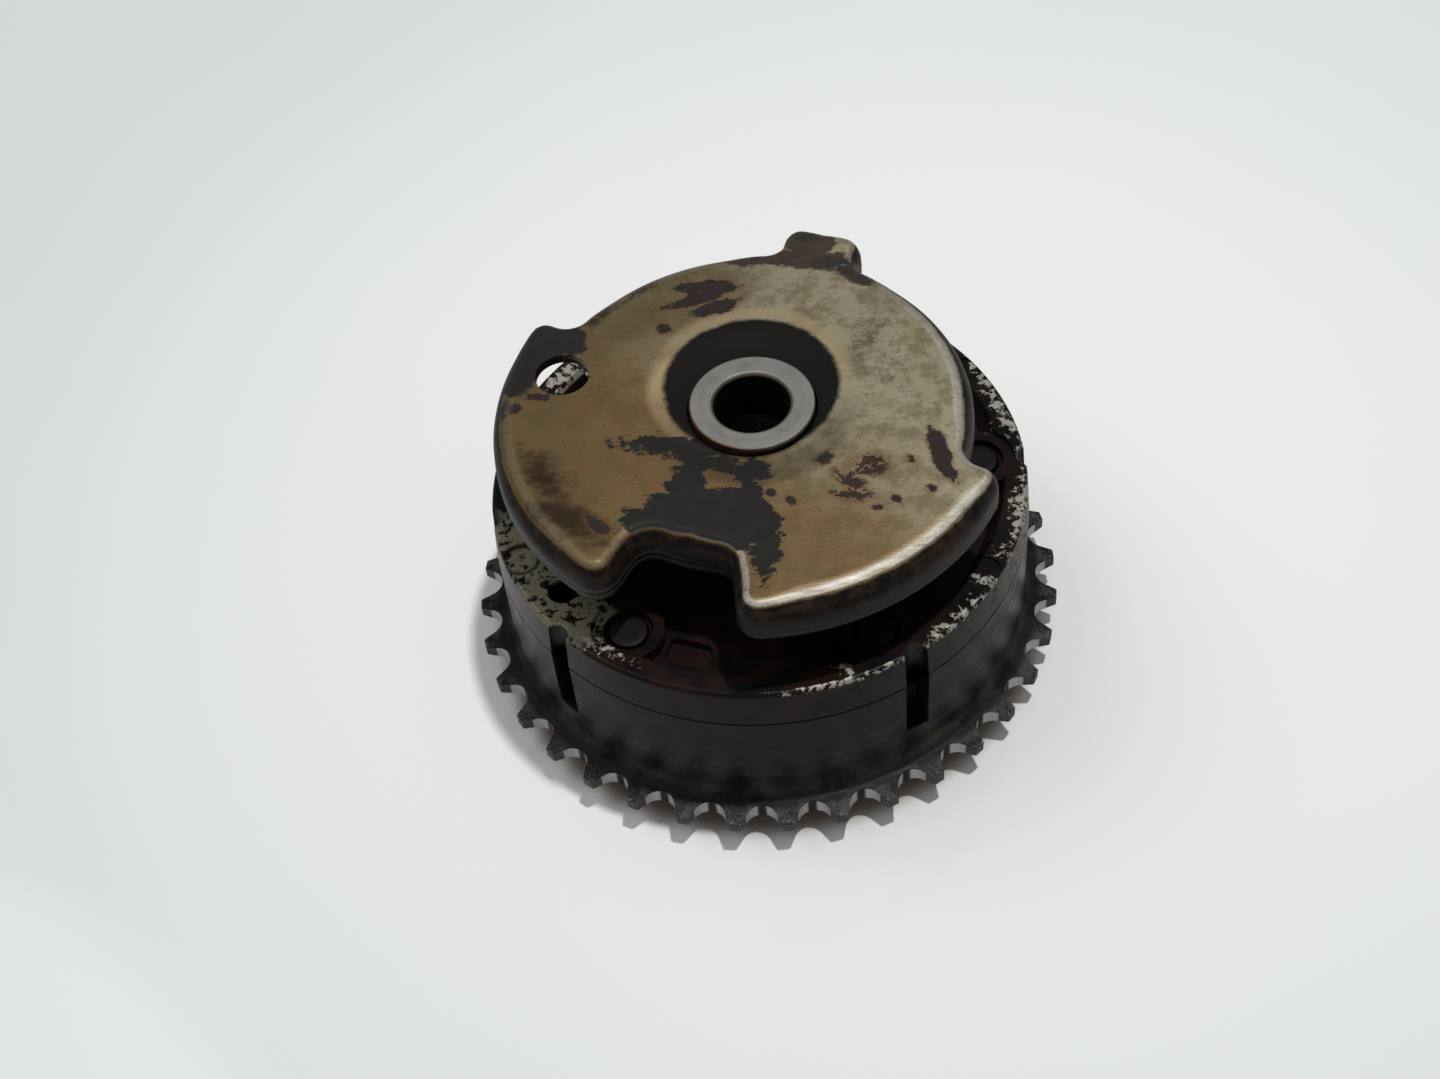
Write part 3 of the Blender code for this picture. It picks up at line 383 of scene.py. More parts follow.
class Bench:
    """The node tree of one finish."""

    def __init__(self, name: str) -> None:
        """Start a material with a bare Principled shader."""
        self.material = bpy.data.materials.new(name)
        self.material.use_nodes = True
        self.tree = self.material.node_tree
        self.shader = self.tree.nodes["Principled BSDF"]
        where = self.node("ShaderNodeTexCoord")
        scaled = self.node("ShaderNodeVectorMath", {"operation": 'SCALE'},
                           {0: where.outputs["Object"], "Scale": 1000.0})
        self.spot = scaled.outputs[0]
        parts = self.node("ShaderNodeSeparateXYZ", None, {0: self.spot})
        self.x, self.y, self.z = (Term(self, parts.outputs[k]) for k in range(3))
        self.r = (self.x * self.x + self.y * self.y) ** 0.5
        self.base: object = (0.0, 0.0, 0.0)

    def node(self, kind: str, settings: dict | None = None,
             inputs: dict | None = None) -> Node:
        """Add a node.

        Args:
            kind: the node's type.
            settings: attributes, set before the sockets.
            inputs: socket name or index to a number, colour, Term or socket.

        Returns:
            The node.
        """
        made = self.tree.nodes.new(kind)
        for key, value in (settings or {}).items():
            setattr(made, key, value)
        for key, value in (inputs or {}).items():
            self.feed(made.inputs[key], value)
        return made

    def feed(self, socket: NodeSocket, value: object) -> None:
        """Set a socket to a number or colour, or link it."""
        if isinstance(value, Term):
            self.tree.links.new(value.socket, socket)
        elif isinstance(value, NodeSocket):
            self.tree.links.new(value, socket)
        elif isinstance(value, tuple) and len(value) == 3 and socket.type == 'RGBA':
            socket.default_value = (*value, 1.0)
        else:
            socket.default_value = value

    def azimuth(self) -> Term:
        """Angle about the axis in degrees, from 0 to 360."""
        node = self.node("ShaderNodeMath", {"operation": 'ARCTAN2'}, {0: self.y, 1: self.x})
        turn = Term(self, node.outputs[0]) * (180.0 / math.pi)
        wrap = self.node("ShaderNodeMath", {"operation": 'WRAP'}, {0: turn, 1: 360.0, 2: 0.0})
        return Term(self, wrap.outputs[0])

    def around(self, length: float, across: Term) -> NodeSocket:
        """Coordinates for marks that run round the axis.

        Args:
            length: radius of the circle that the turn is laid on; less makes longer marks.
            across: the value that changes from one mark to the next.

        Returns:
            The coordinates.
        """
        return self.vector(self.x / self.r * length, self.y / self.r * length, across)

    def vector(self, x: Term | float, y: Term | float, z: Term | float) -> NodeSocket:
        """A vector of three values."""
        return self.node("ShaderNodeCombineXYZ", None, {0: x, 1: y, 2: z}).outputs[0]

    def noise(self, size: float, detail: float = 4.0, rough: float = 0.55,
              stretch: Triple = (1.0, 1.0, 1.0), shift: float = 0.0,
              where: NodeSocket | None = None) -> Term:
        """Cloudy noise from 0 to 1.

        Args:
            size: size of its features in millimetres.
            detail: octaves.
            rough: strength of the fine octaves.
            stretch: how much longer the features are along each axis.
            shift: moves the pattern, so that two layers differ.
            where: coordinates, or None for the place on the piece.

        Returns:
            The noise value.
        """
        scaled = self.node("ShaderNodeMapping", None, {
            "Vector": where or self.spot, "Location": (shift, 0.7 * shift, 0.3 * shift),
            "Scale": tuple(1.0 / (size * s) for s in stretch)})
        made = self.node("ShaderNodeTexNoise", None, {
            "Vector": scaled.outputs[0], "Scale": 1.0, "Detail": detail, "Roughness": rough})
        return Term(self, made.outputs["Fac"])

    def mix(self, first: object, second: object, amount: Term | float) -> NodeSocket:
        """Blend two colours."""
        made = self.node("ShaderNodeMix", {"data_type": 'RGBA'}, {0: amount, 6: first, 7: second})
        return made.outputs[2]

    def coat(self, colour: object, amount: Term | float) -> None:
        """Lay a colour over the base colour."""
        self.base = self.mix(self.base, colour, amount)

    def bump(self, height: Term, depth: float) -> NodeSocket:
        """Relief from 0 to 1, of a depth in millimetres, as a normal."""
        made = self.node("ShaderNodeBump", None, {"Height": height, "Distance": depth * MM})
        return made.outputs[0]

    def finish(self, **sockets: object) -> Material:
        """Feed the shader its base colour and the sockets, named with _ for their blanks."""
        for key, value in {"Base_Color": self.base, **sockets}.items():
            self.feed(self.shader.inputs[key.replace("_", " ")], value)
        return self.material


@dataclass(frozen=True)
class Blot:
    """An oval patch of stain on the trigger wheel, in plan."""

    x: float
    y: float
    length: float
    width: float
    turn: float

    def reach(self, bench: Bench) -> Term:
        """Distance inside the patch's edge in millimetres, negative outside."""
        c, s = math.cos(math.radians(self.turn)), math.sin(math.radians(self.turn))
        along = ((bench.x - self.x) * c + (bench.y - self.y) * s) / self.length
        across = ((bench.y - self.y) * c - (bench.x - self.x) * s) / self.width
        out = (along * along + across * across) ** 0.5
        return (1.0 - out) * min(self.length, self.width)


def patch(bench: Bench, blots: tuple[Blot, ...]) -> Term:
    """Distance inside the nearest of several patches."""
    field_ = blots[0].reach(bench)
    for blot in blots[1:]:
        field_ = field_.most(blot.reach(bench))
    return field_


@dataclass(frozen=True)
class StatorFinish:
    """Oil-darkened sintered steel, turned outside, bright in the tooth gaps, with a painted
    reflection of the floor in a band round the side and painted light on the flare's front.
    """

    dark: Colour = (0.0095, 0.0090, 0.0088)
    # pale tone of the turning lines and of the painted reflection band
    pale: Colour = (0.040, 0.041, 0.042)
    oil: Colour = (0.006, 0.005, 0.004)
    olive: Colour = (0.050, 0.046, 0.037)
    rubbed: Colour = (0.060, 0.055, 0.050)
    bright: Colour = (0.40, 0.40, 0.385)

    def material(self) -> Material:
        """Build the material."""
        b = Bench("stator_steel_worn")
        clouds = b.noise(6.0, 4.0, 0.55, (1.0, 1.0, 0.6)).ramp(0.42, 0.70)
        fine = b.noise(0.4, 3.0, 0.6, shift=4.0)
        lines = b.noise(0.22, 3.0, 0.6, where=b.around(3.0, b.z))
        side = (1.0 - b.r.ramp(41.7, 42.2)) * b.r.ramp(40.8, 41.2)
        # Band round the side's middle where the floor's reflection is painted.
        low = b.z.between(11.0, 17.5, 2.0)
        lid = 6.8 - (b.r - 43.05) * 0.123
        wall = b.r.ramp(43.40, 43.55) * (lid - b.z).ramp(0.06, 0.18) * b.z.ramp(4.02, 4.12)
        tip = b.r.ramp(45.0, 45.25)
        face = b.r.ramp(43.2, 44.6) * b.z.ramp(5.9, 6.4)
        foot = b.z.between(7.2, 10.4, 0.8) * b.r.ramp(41.3, 41.7)
        reflection_streaks = b.noise(1.5, 4.0, 0.6, where=b.around(5.0, b.z)).ramp(0.44, 0.64)
        # Pale clouds in the middle band, streaked along the turn, are painted reflection of the
        # floor; the faint pale turning lines over the whole side are the steel's own.
        b.base = b.mix(self.dark, self.pale, (clouds * low * (0.3 + reflection_streaks * 0.7)
                                              + lines * 0.12) * side)
        # Olive on the flare's foot, strongest at the front and gone at the back: painted light on
        # the flare.
        b.coat(self.olive, foot * (0.4 + clouds * 0.6) * (0.55 - b.y * 0.015).ramp(0.0, 1.0))
        b.coat(self.olive, face * fine.ramp(0.35, 0.75) * 0.6)
        b.coat(self.rubbed, face * b.r.between(43.7, 46.9, 0.8)
               * (clouds * 0.4 + fine).ramp(0.35, 0.75))
        oil = b.noise(5.0, 4.0, 0.6, shift=21.0).ramp(0.46, 0.62)
        b.coat(self.oil, oil * 0.8)
        worn = b.noise(1.0, 3.0, 0.6, shift=31.0).ramp(0.14, 0.38)
        edge = b.r.ramp(45.6, 46.6) * b.z.ramp(5.6, 6.2) * fine.ramp(0.48, 0.66) * 0.25
        bared = (wall * worn * (1.0 - tip * 0.86)).most(edge)
        b.coat(self.bright, bared)
        rough = 0.34 + fine * 0.12 + clouds * 0.08 - oil * 0.08 + foot * 0.12 + wall * 0.10
        return b.finish(Roughness=rough, Metallic=0.10 + bared * 0.45,
                        Specular_IOR_Level=0.075,
                        Normal=b.bump(lines * side * 0.7 + fine * 0.5, 0.022))


@dataclass(frozen=True)
class CoverFinish:
    """Cast cover under brown-black varnish, flaked to bare metal in places."""

    varnish: Colour = (0.0145, 0.0066, 0.0056)
    black: Colour = (0.0045, 0.0040, 0.0040)
    bare: Colour = (0.238, 0.218, 0.150)
    chip: Colour = (0.40, 0.375, 0.315)
    rust: Colour = (0.060, 0.028, 0.016)
    pads: tuple[Point, ...] = tuple(polar(38.6, a) for a in DATUM.pad_azimuths)
    flaked: tuple[Blot, ...] = (
        Blot(38.5, -11.7, 6.4, 1.1, -107), Blot(35.8, -21.2, 1.6, 0.5, -60),
        Blot(31.2, -24.6, 1.7, 1.0, -39), Blot(25.6, -31.2, 3.7, 0.5, 40),
        Blot(9.1, -38.2, 1.7, 0.6, -51), Blot(38.6, 8.7, 7.6, 0.7, -76),
        Blot(36.1, 5.0, 0.6, 0.5, -8), Blot(-28.3, 25.7, 3.9, 2.0, 37),
        Blot(-26.4, -28.6, 3.4, 0.9, -35), Blot(35.2, -18.5, 0.9, 0.3, 36),
        Blot(9.0, 38.0, 5.0, 0.9, -14), Blot(-12.0, 37.0, 3.0, 0.7, 20))

    def material(self) -> Material:
        """Build the material."""
        b = Bench("cover_casting_worn")
        grain = b.noise(0.8, 5.0, 0.65)
        flakes = b.noise(1.1, 6.0, 0.72, shift=7.0)
        patches = b.noise(5.0, 3.0, 0.5, shift=3.0)
        turn = b.azimuth()
        top = b.z.ramp(31.0, 31.4)
        land = top * turn.between(184.0, 224.5, 2.5) * b.r.ramp(31.8, 33.2)
        rings = [Blot(*pad, DATUM.pad_r, DATUM.pad_r, 0.0).reach(b).size() for pad in self.pads]
        rims = rings[0]
        for ring in rings[1:]:
            rims = rims.least(ring)
        spots = (patch(b, self.flaked) * 0.10).least(0.06) + flakes
        rim_edge = b.r.ramp(40.2, 40.5) * b.z.ramp(31.0, 31.6)
        lip = rim_edge * turn.between(268.0, 297.0, 4.0).most(turn.between(299.5, 318.0, 2.0))
        lip = lip.most(rim_edge * turn.between(334.0, 352.0, 3.0))
        chips = spots.ramp(0.515, 0.545).most((flakes + patches * 0.1 + lip * 0.06 - 0.1
                                             ).ramp(0.51, 0.55) * lip)
        rust = b.noise(0.7, 5.0, 0.68, shift=51.0)
        pits = b.noise(1.9, 4.0, 0.62, shift=77.0)
        chips = chips.most(land * (1.0 - (pits * 0.7 + flakes * 0.3).ramp(0.515, 0.560)))
        stain = (1.0 - rims.ramp(0.10, 0.35 + land * 0.35)) * top
        chips = chips * (1.0 - stain * (0.4 + land * 0.45))
        b.base = b.mix(self.black, self.varnish, patches.ramp(0.38, 0.6))
        b.coat(b.mix(self.chip, self.bare, land), chips * top * (0.8 + grain * 0.2))
        b.coat(self.rust, land * chips * rust.ramp(0.56, 0.64) * 0.8)
        rough = 0.26 + grain * 0.14 + chips * 0.22
        return b.finish(Roughness=rough, Metallic=chips * 0.55,
                        Specular_IOR_Level=0.09,
                        Normal=b.bump(grain * 0.5 - chips * 0.5, 0.07))


@dataclass(frozen=True)
class WheelFinish:
    """Drawn sheet steel under baked varnish, with slate and brown stains, painted sheen on the
    right, painted highlights on the rolled rim and on the dish's far rim, and painted shade at the
    hub.
    """

    tan: Colour = (0.200, 0.131, 0.060)
    # grey of the painted sheen
    sheen_grey: Colour = (0.375, 0.326, 0.222)
    olive: Colour = (0.136, 0.098, 0.045)
    # pale colour of the painted highlight on the rolled rim
    painted_highlight: Colour = (0.50, 0.475, 0.42)
    purple: Colour = (0.030, 0.022, 0.024)
    singed: Colour = (0.040, 0.024, 0.018)
    rusty: Colour = (0.030, 0.017, 0.010)
    amber: Colour = (0.19, 0.095, 0.040)
    brown: Colour = (0.030, 0.016, 0.011)
    # tan of the painted highlight on the dish's rim
    light: Colour = (0.44, 0.33, 0.185)
    slate: Colour = (0.0120, 0.0118, 0.0128)
    soot: Colour = (0.0050, 0.0038, 0.0032)
    # tone of the painted highlight on the skirt's ridges
    ridge_highlight_tone: Colour = (0.085, 0.075, 0.068)
    slate_blots: tuple[Blot, ...] = (
        Blot(-9.0, -20.8, 7.9, 4.7, -10), Blot(-3.9, -22.2, 5.1, 4.8, -42),
        Blot(-0.6, -27.4, 4.0, 1.5, 85), Blot(-10.7, -15.3, 4.2, 2.4, 88),
        Blot(-17.2, -20.6, 2.6, 1.9, -13), Blot(-14.4, -6.2, 3.8, 1.4, -9),
        Blot(-10.2, -7.9, 2.9, 1.9, -12), Blot(-5.6, -10.9, 3.6, 1.4, -23),
        Blot(-1.2, -12.7, 2.1, 2.0, -23), Blot(-1.5, -15.7, 1.8, 0.8, 85),
        Blot(-6.8, -7.0, 3.8, 1.7, -9), Blot(-9.6, -11.7, 2.3, 1.1, 87))
    soot_blots: tuple[Blot, ...] = (
        Blot(-31.6, 16.4, 5.6, 4.7, 85), Blot(-34.5, 10.6, 3.9, 2.8, -84),
        Blot(-26.4, 17.2, 3.2, 2.5, -81), Blot(10.6, 29.0, 8.7, 1.8, -15),
        Blot(18.2, 24.5, 3.6, 1.2, -48), Blot(12.2, 33.0, 4.1, 3.4, -15),
        Blot(2.0, 30.4, 3.5, 1.2, -9))
    streaks: tuple[Blot, ...] = (
        Blot(25.8, -13.2, 4.4, 1.3, -84), Blot(26.2, -16.8, 2.6, 0.9, -70),
        Blot(-4.8, 25.3, 4.0, 1.2, 0), Blot(-6.0, 22.9, 5.5, 1.1, 14),
        Blot(-3.6, 20.3, 3.7, 1.3, 15), Blot(-11.9, 17.1, 0.9, 0.8, -9),
        Blot(-35.2, 3.9, 0.9, 1.0, -21), Blot(-36.7, 4.4, 1.6, 0.5, 78),
        Blot(-31.2, 5.5, 1.5, 0.6, -17), Blot(-23.7, -20.7, 2.1, 0.9, -51),
        Blot(21.6, -14.6, 0.7, 0.5, -56), Blot(23.7, -20.3, 0.5, 0.4, -38),
        Blot(18.6, -21.5, 0.8, 0.4, -61), Blot(1.0, -17.8, 0.6, 0.6, -54),
        Blot(3.8, -19.5, 0.8, 0.4, -75), Blot(15.7, -22.5, 0.7, 0.4, -23))
    speckle: tuple[Blot, ...] = (
        Blot(12.3, -19.5, 3.6, 1.5, -17), Blot(12.6, -17.0, 3.3, 1.6, -48),
        Blot(15.5, -14.6, 2.9, 2.3, -17), Blot(9.4, -12.5, 1.8, 1.3, 42))
    faint: tuple[Blot, ...] = (
        Blot(19.1, 9.5, 7.5, 3.6, 83), Blot(22.2, 3.6, 4.8, 2.6, 82),
        Blot(27.4, -5.7, 1.8, 0.6, -101))

    def material(self) -> Material:
        """Build the material."""
        b = Bench("wheel_sheet_worn")
        clouds = b.noise(14.0, 4.0, 0.55)
        smoke = b.noise(4.5, 5.0, 0.62, (1.8, 1.0, 1.0), 5.0)
        grain = b.noise(0.28, 3.0, 0.6, (26.0, 1.0, 1.0), 11.0)
        brush = b.noise(0.7, 4.0, 0.65, (9.0, 1.0, 1.0), 23.0)
        jag = b.noise(1.7, 6.0, 0.74, (1.5, 1.0, 1.0), 17.0)
        pits = b.noise(0.9, 4.0, 0.7, shift=41.0)
        turn = b.azimuth()
        outer = b.r.ramp(20.0, 22.0)
        top = b.z.ramp(47.9, 48.4).most(1.0 - outer)
        dry = turn.between(148.0, 214.0, 14.0) * 0.35
        side = (1.0 - (b.z + dry + (jag - 0.5) * 0.5).ramp(47.85, 48.12)) * outer
        # Top made lighter and greyer towards the right and back: painted sheen of a broad
        # reflection.
        painted_sheen = (b.x * 0.026 + b.y * 0.020 + 0.50 + (clouds - 0.5) * 0.8).ramp(0.0, 1.0)
        # Front and right side, where the lamp's highlight lies on the rolled rim.
        front = (b.x * 0.030 - b.y * 0.025 + 0.15).ramp(0.0, 1.0)
        b.base = b.mix(self.tan, self.sheen_grey, painted_sheen)
        b.coat(self.amber, (smoke - painted_sheen * 0.14).ramp(0.42, 0.66) * (0.6 - front * 0.3))
        left = (0.0 - b.x - b.y * 0.3).ramp(2.0, 26.0)
        b.coat(self.olive, b.r.ramp(20.0, 34.0) * left * smoke.ramp(0.25, 0.55) * 0.75)
        b.coat(self.amber, (brush - painted_sheen * 0.1).ramp(0.50, 0.62) * (0.35 - front * 0.17))
        mottle = b.noise(3.2, 6.0, 0.68, shift=61.0)
        b.coat(self.olive, mottle.ramp(0.42, 0.62) * 0.55)
        top_left = patch(b, (Blot(-10.0, 23.0, 16.0, 8.0, 25),)).ramp(-3.0, 5.0)
        b.coat(self.olive, top_left * (0.15 + clouds * 0.9 + smoke * 0.3).least(0.8))
        b.coat(self.rusty, b.noise(0.55, 4.0, 0.7, shift=71.0).ramp(0.60, 0.68)
               * (0.25 + smoke * 0.5))
        toast = patch(b, (Blot(-27.5, -18.9, 6.8, 2.6, -40), Blot(-31.0, -10.0, 5.0, 2.2, -65)))
        b.coat(self.brown, (toast + (jag - 0.47) * 8.0).ramp(-1.8, 2.2) * 0.9)
        crease = b.r.between(29.3, 31.2, 0.4) * turn.between(114.0, 140.0, 3.0)
        beyond = b.r.ramp(29.8, 31.4) * turn.between(84.0, 141.0, 6.0) * top
        b.coat(self.amber, beyond * 0.55)
        b.coat(self.brown, beyond * (jag * 0.6 + mottle * 0.4).ramp(0.46, 0.62) * 0.7)
        b.coat(self.brown, crease * jag.ramp(0.38, 0.52) * 0.8)
        far = ((b.x - 0.3) * (b.x - 0.3) + (b.y - 4.0) * (b.y - 4.0)) ** 0.5
        # Light tan ring just outside the black, on the far and left side: painted highlight on the
        # dish's rounded rim.
        dish_rim_highlight = (far - 13.1).between(0.2, 2.4, 0.9) * (b.y - b.x * 0.4).ramp(-8.0, 4.0)
        b.coat(self.light, dish_rim_highlight * (0.25 + jag * 0.7) * clouds.ramp(0.25, 0.55))
        wander = (jag - 0.47) * 6.5
        streak = (patch(b, self.streaks) + wander * 0.45 + 0.15).ramp(-0.05, 0.25)
        spread = patch(b, self.speckle)
        fleck = ((spread * 0.06).least(0.08) + pits * 0.5 + jag * 0.5).ramp(0.50, 0.53)
        fleck = fleck * spread.ramp(-0.6, 0.6)
        word = patch(b, self.faint)
        letter = (pits * 0.5 + jag * 0.5).ramp(0.50, 0.55) * word.ramp(-0.6, 1.2) * 0.42
        dots = pits.ramp(0.66, 0.70) * 0.5
        rust = (patch(b, self.streaks).most(spread) + wander * 0.3 + 0.7).ramp(-0.2, 0.9)
        b.coat(self.amber, rust * 0.45)
        b.coat(b.mix(self.brown, self.purple, pits.ramp(0.38, 0.6)),
               streak.most(fleck * 0.9).most(letter).most(dots))
        slate = (patch(b, self.slate_blots) + wander + 0.45).ramp(-0.10, 0.16) * top
        soot = (patch(b, self.soot_blots) + wander * 0.6 + 0.4).ramp(-0.1, 0.5)
        # Soot stain round the hub, off centre towards the back, and painted shade on the wheel's
        # lip in the gap at the hub.
        dish = (13.1 - far + wander * 0.25).ramp(-0.6, 0.5).most((10.1 - b.r).ramp(0.0, 0.4))
        b.coat(self.slate, slate * (0.93 + jag * 0.07))
        b.coat(b.mix(self.slate, self.singed, b.y.ramp(14.0, 30.0)
                     * (smoke * 0.6 + jag * 0.4).ramp(0.40, 0.55)), soot * 0.96)
        b.coat(self.soot, dish)
        grit = b.noise(0.35, 3.0, 0.6, shift=83.0)
        rows = b.noise(1.4, 5.0, 0.66, where=b.around(3.0, b.z))
        varnish = b.mix(self.soot, self.rusty, (jag * 0.6 + rows * 0.4).ramp(0.44, 0.60)
                        * (0.35 + b.z.ramp(44.0, 48.0) * 0.65))
        b.coat(varnish, side * (0.92 + smoke * 0.2).least(1.0))
        # Lighter lines on the skirt's ridges on the left, with faint lighter streaks along the
        # skirt: painted highlight.
        worn = b.z.between(44.1, 44.6, 0.15).most(b.z.between(42.95, 43.4, 0.15))
        worn = worn * rows.ramp(0.34, 0.56) * turn.between(150.0, 250.0, 25.0) * side
        b.coat(self.ridge_highlight_tone, worn * 0.5 + rows.ramp(0.56, 0.72) * side * 0.06)
        # Band at the start of the rolled rim that carries a painted highlight, strongest at the
        # front and right.
        bent = b.z.between(48.12, 48.61, 0.08) * outer * (1.0 - side)
        bent = bent * (1.0 - slate) * (1.0 - soot)
        b.coat(self.painted_highlight, bent * (0.06 + front * 0.80) * (brush + grit * 0.5).ramp(0.40, 0.90))
        # Stains, varnish and the painted gap shade, which take the shine off the metal.
        stains_and_gap_shade = slate.most(soot).most(dish).most(side * 0.92).most(streak * 0.8)
        rough = 0.41 + clouds * 0.06 + stains_and_gap_shade * 0.02 + smoke * 0.06 + bent * grit * 0.24 + dish * 0.14
        return b.finish(Roughness=rough, Metallic=0.95 - stains_and_gap_shade * 0.85,
                        Specular_IOR_Level=0.12, Coat_Weight=(1.0 - stains_and_gap_shade) * 0.14,
                        Coat_Roughness=0.24,
                        Normal=b.bump(grain * 0.6 * (1.0 - stains_and_gap_shade) + smoke * 0.6 + slate * 0.3
                                      + brush * 0.25 + bent * grit * 2.0, 0.03))


@dataclass(frozen=True)
class HubFinish:
    """Bright turned steel with the cutter's rings, and painted shade in the bore and on the side
    wall below the top.
    """

    steel: Colour = (0.255, 0.250, 0.232)
    stain: Colour = (0.17, 0.160, 0.140)
    burnt: Colour = (0.10, 0.055, 0.025)
    # near-black colour of the painted shade in the bore and on the side wall
    oil: Colour = (0.010, 0.008, 0.007)

    def material(self) -> Material:
        """Build the material."""
        b = Bench("hub_steel_turned")
        rings = b.noise(0.12, 2.0, 0.6, where=b.vector(b.r, 0.0, b.z))
        bands = b.noise(1.1, 2.0, 0.5, where=b.vector(b.r, 3.0, b.z))
        clouds = b.noise(3.0, 4.0, 0.6)
        b.base = b.mix(self.steel, self.stain, clouds.ramp(0.4, 0.75) * 0.5
                       + bands.ramp(0.3, 0.7) * 0.45)
        # Bore wall and side wall below the top made near black: painted shade.
        inside = (1.0 - b.r.ramp(5.9, 6.15)) * (1.0 - b.z.ramp(48.0, 48.5))
        low = (1.0 - b.z.ramp(47.95, 48.25)) * b.r.ramp(9.1, 9.2)
        b.coat(self.oil, inside.most(low) * 0.94)
        edge = b.r.ramp(8.95, 9.25) * (0.35 - b.x * 0.06 + clouds * 0.4).ramp(0.2, 0.9)
        inner = (1.0 - b.r.ramp(5.9, 6.25)) * b.z.ramp(47.9, 48.3)
        b.coat(self.burnt, (edge + inner * 0.6).least(1.0))
        rough = 0.50 + bands * 0.12 + rings * 0.08 + low * 0.05
        return b.finish(Roughness=rough, Metallic=0.95,
                        Normal=b.bump(rings * 0.8 + bands, 0.016))


@dataclass(frozen=True)
class PlainSteelFinish:
    """A steel of one tone with fine grain, for the screws and the inner pieces."""

    name: str
    tone: Colour
    shade: Colour
    grain: float = 0.4
    rough: float = 0.34
    metallic: float = 0.85
    depth: float = 0.02
    gloss: float = 0.5

    def material(self) -> Material:
        """Build the material."""
        b = Bench(self.name)
        grain = b.noise(self.grain, 4.0, 0.6)
        clouds = b.noise(self.grain * 12.0, 4.0, 0.6, shift=2.0)
        b.base = b.mix(self.tone, self.shade, clouds.ramp(0.35, 0.7) * 0.8 + grain * 0.15)
        return b.finish(Roughness=self.rough + grain * 0.14,
                        Metallic=self.metallic, Specular_IOR_Level=self.gloss,
                        Normal=b.bump(grain, self.depth))


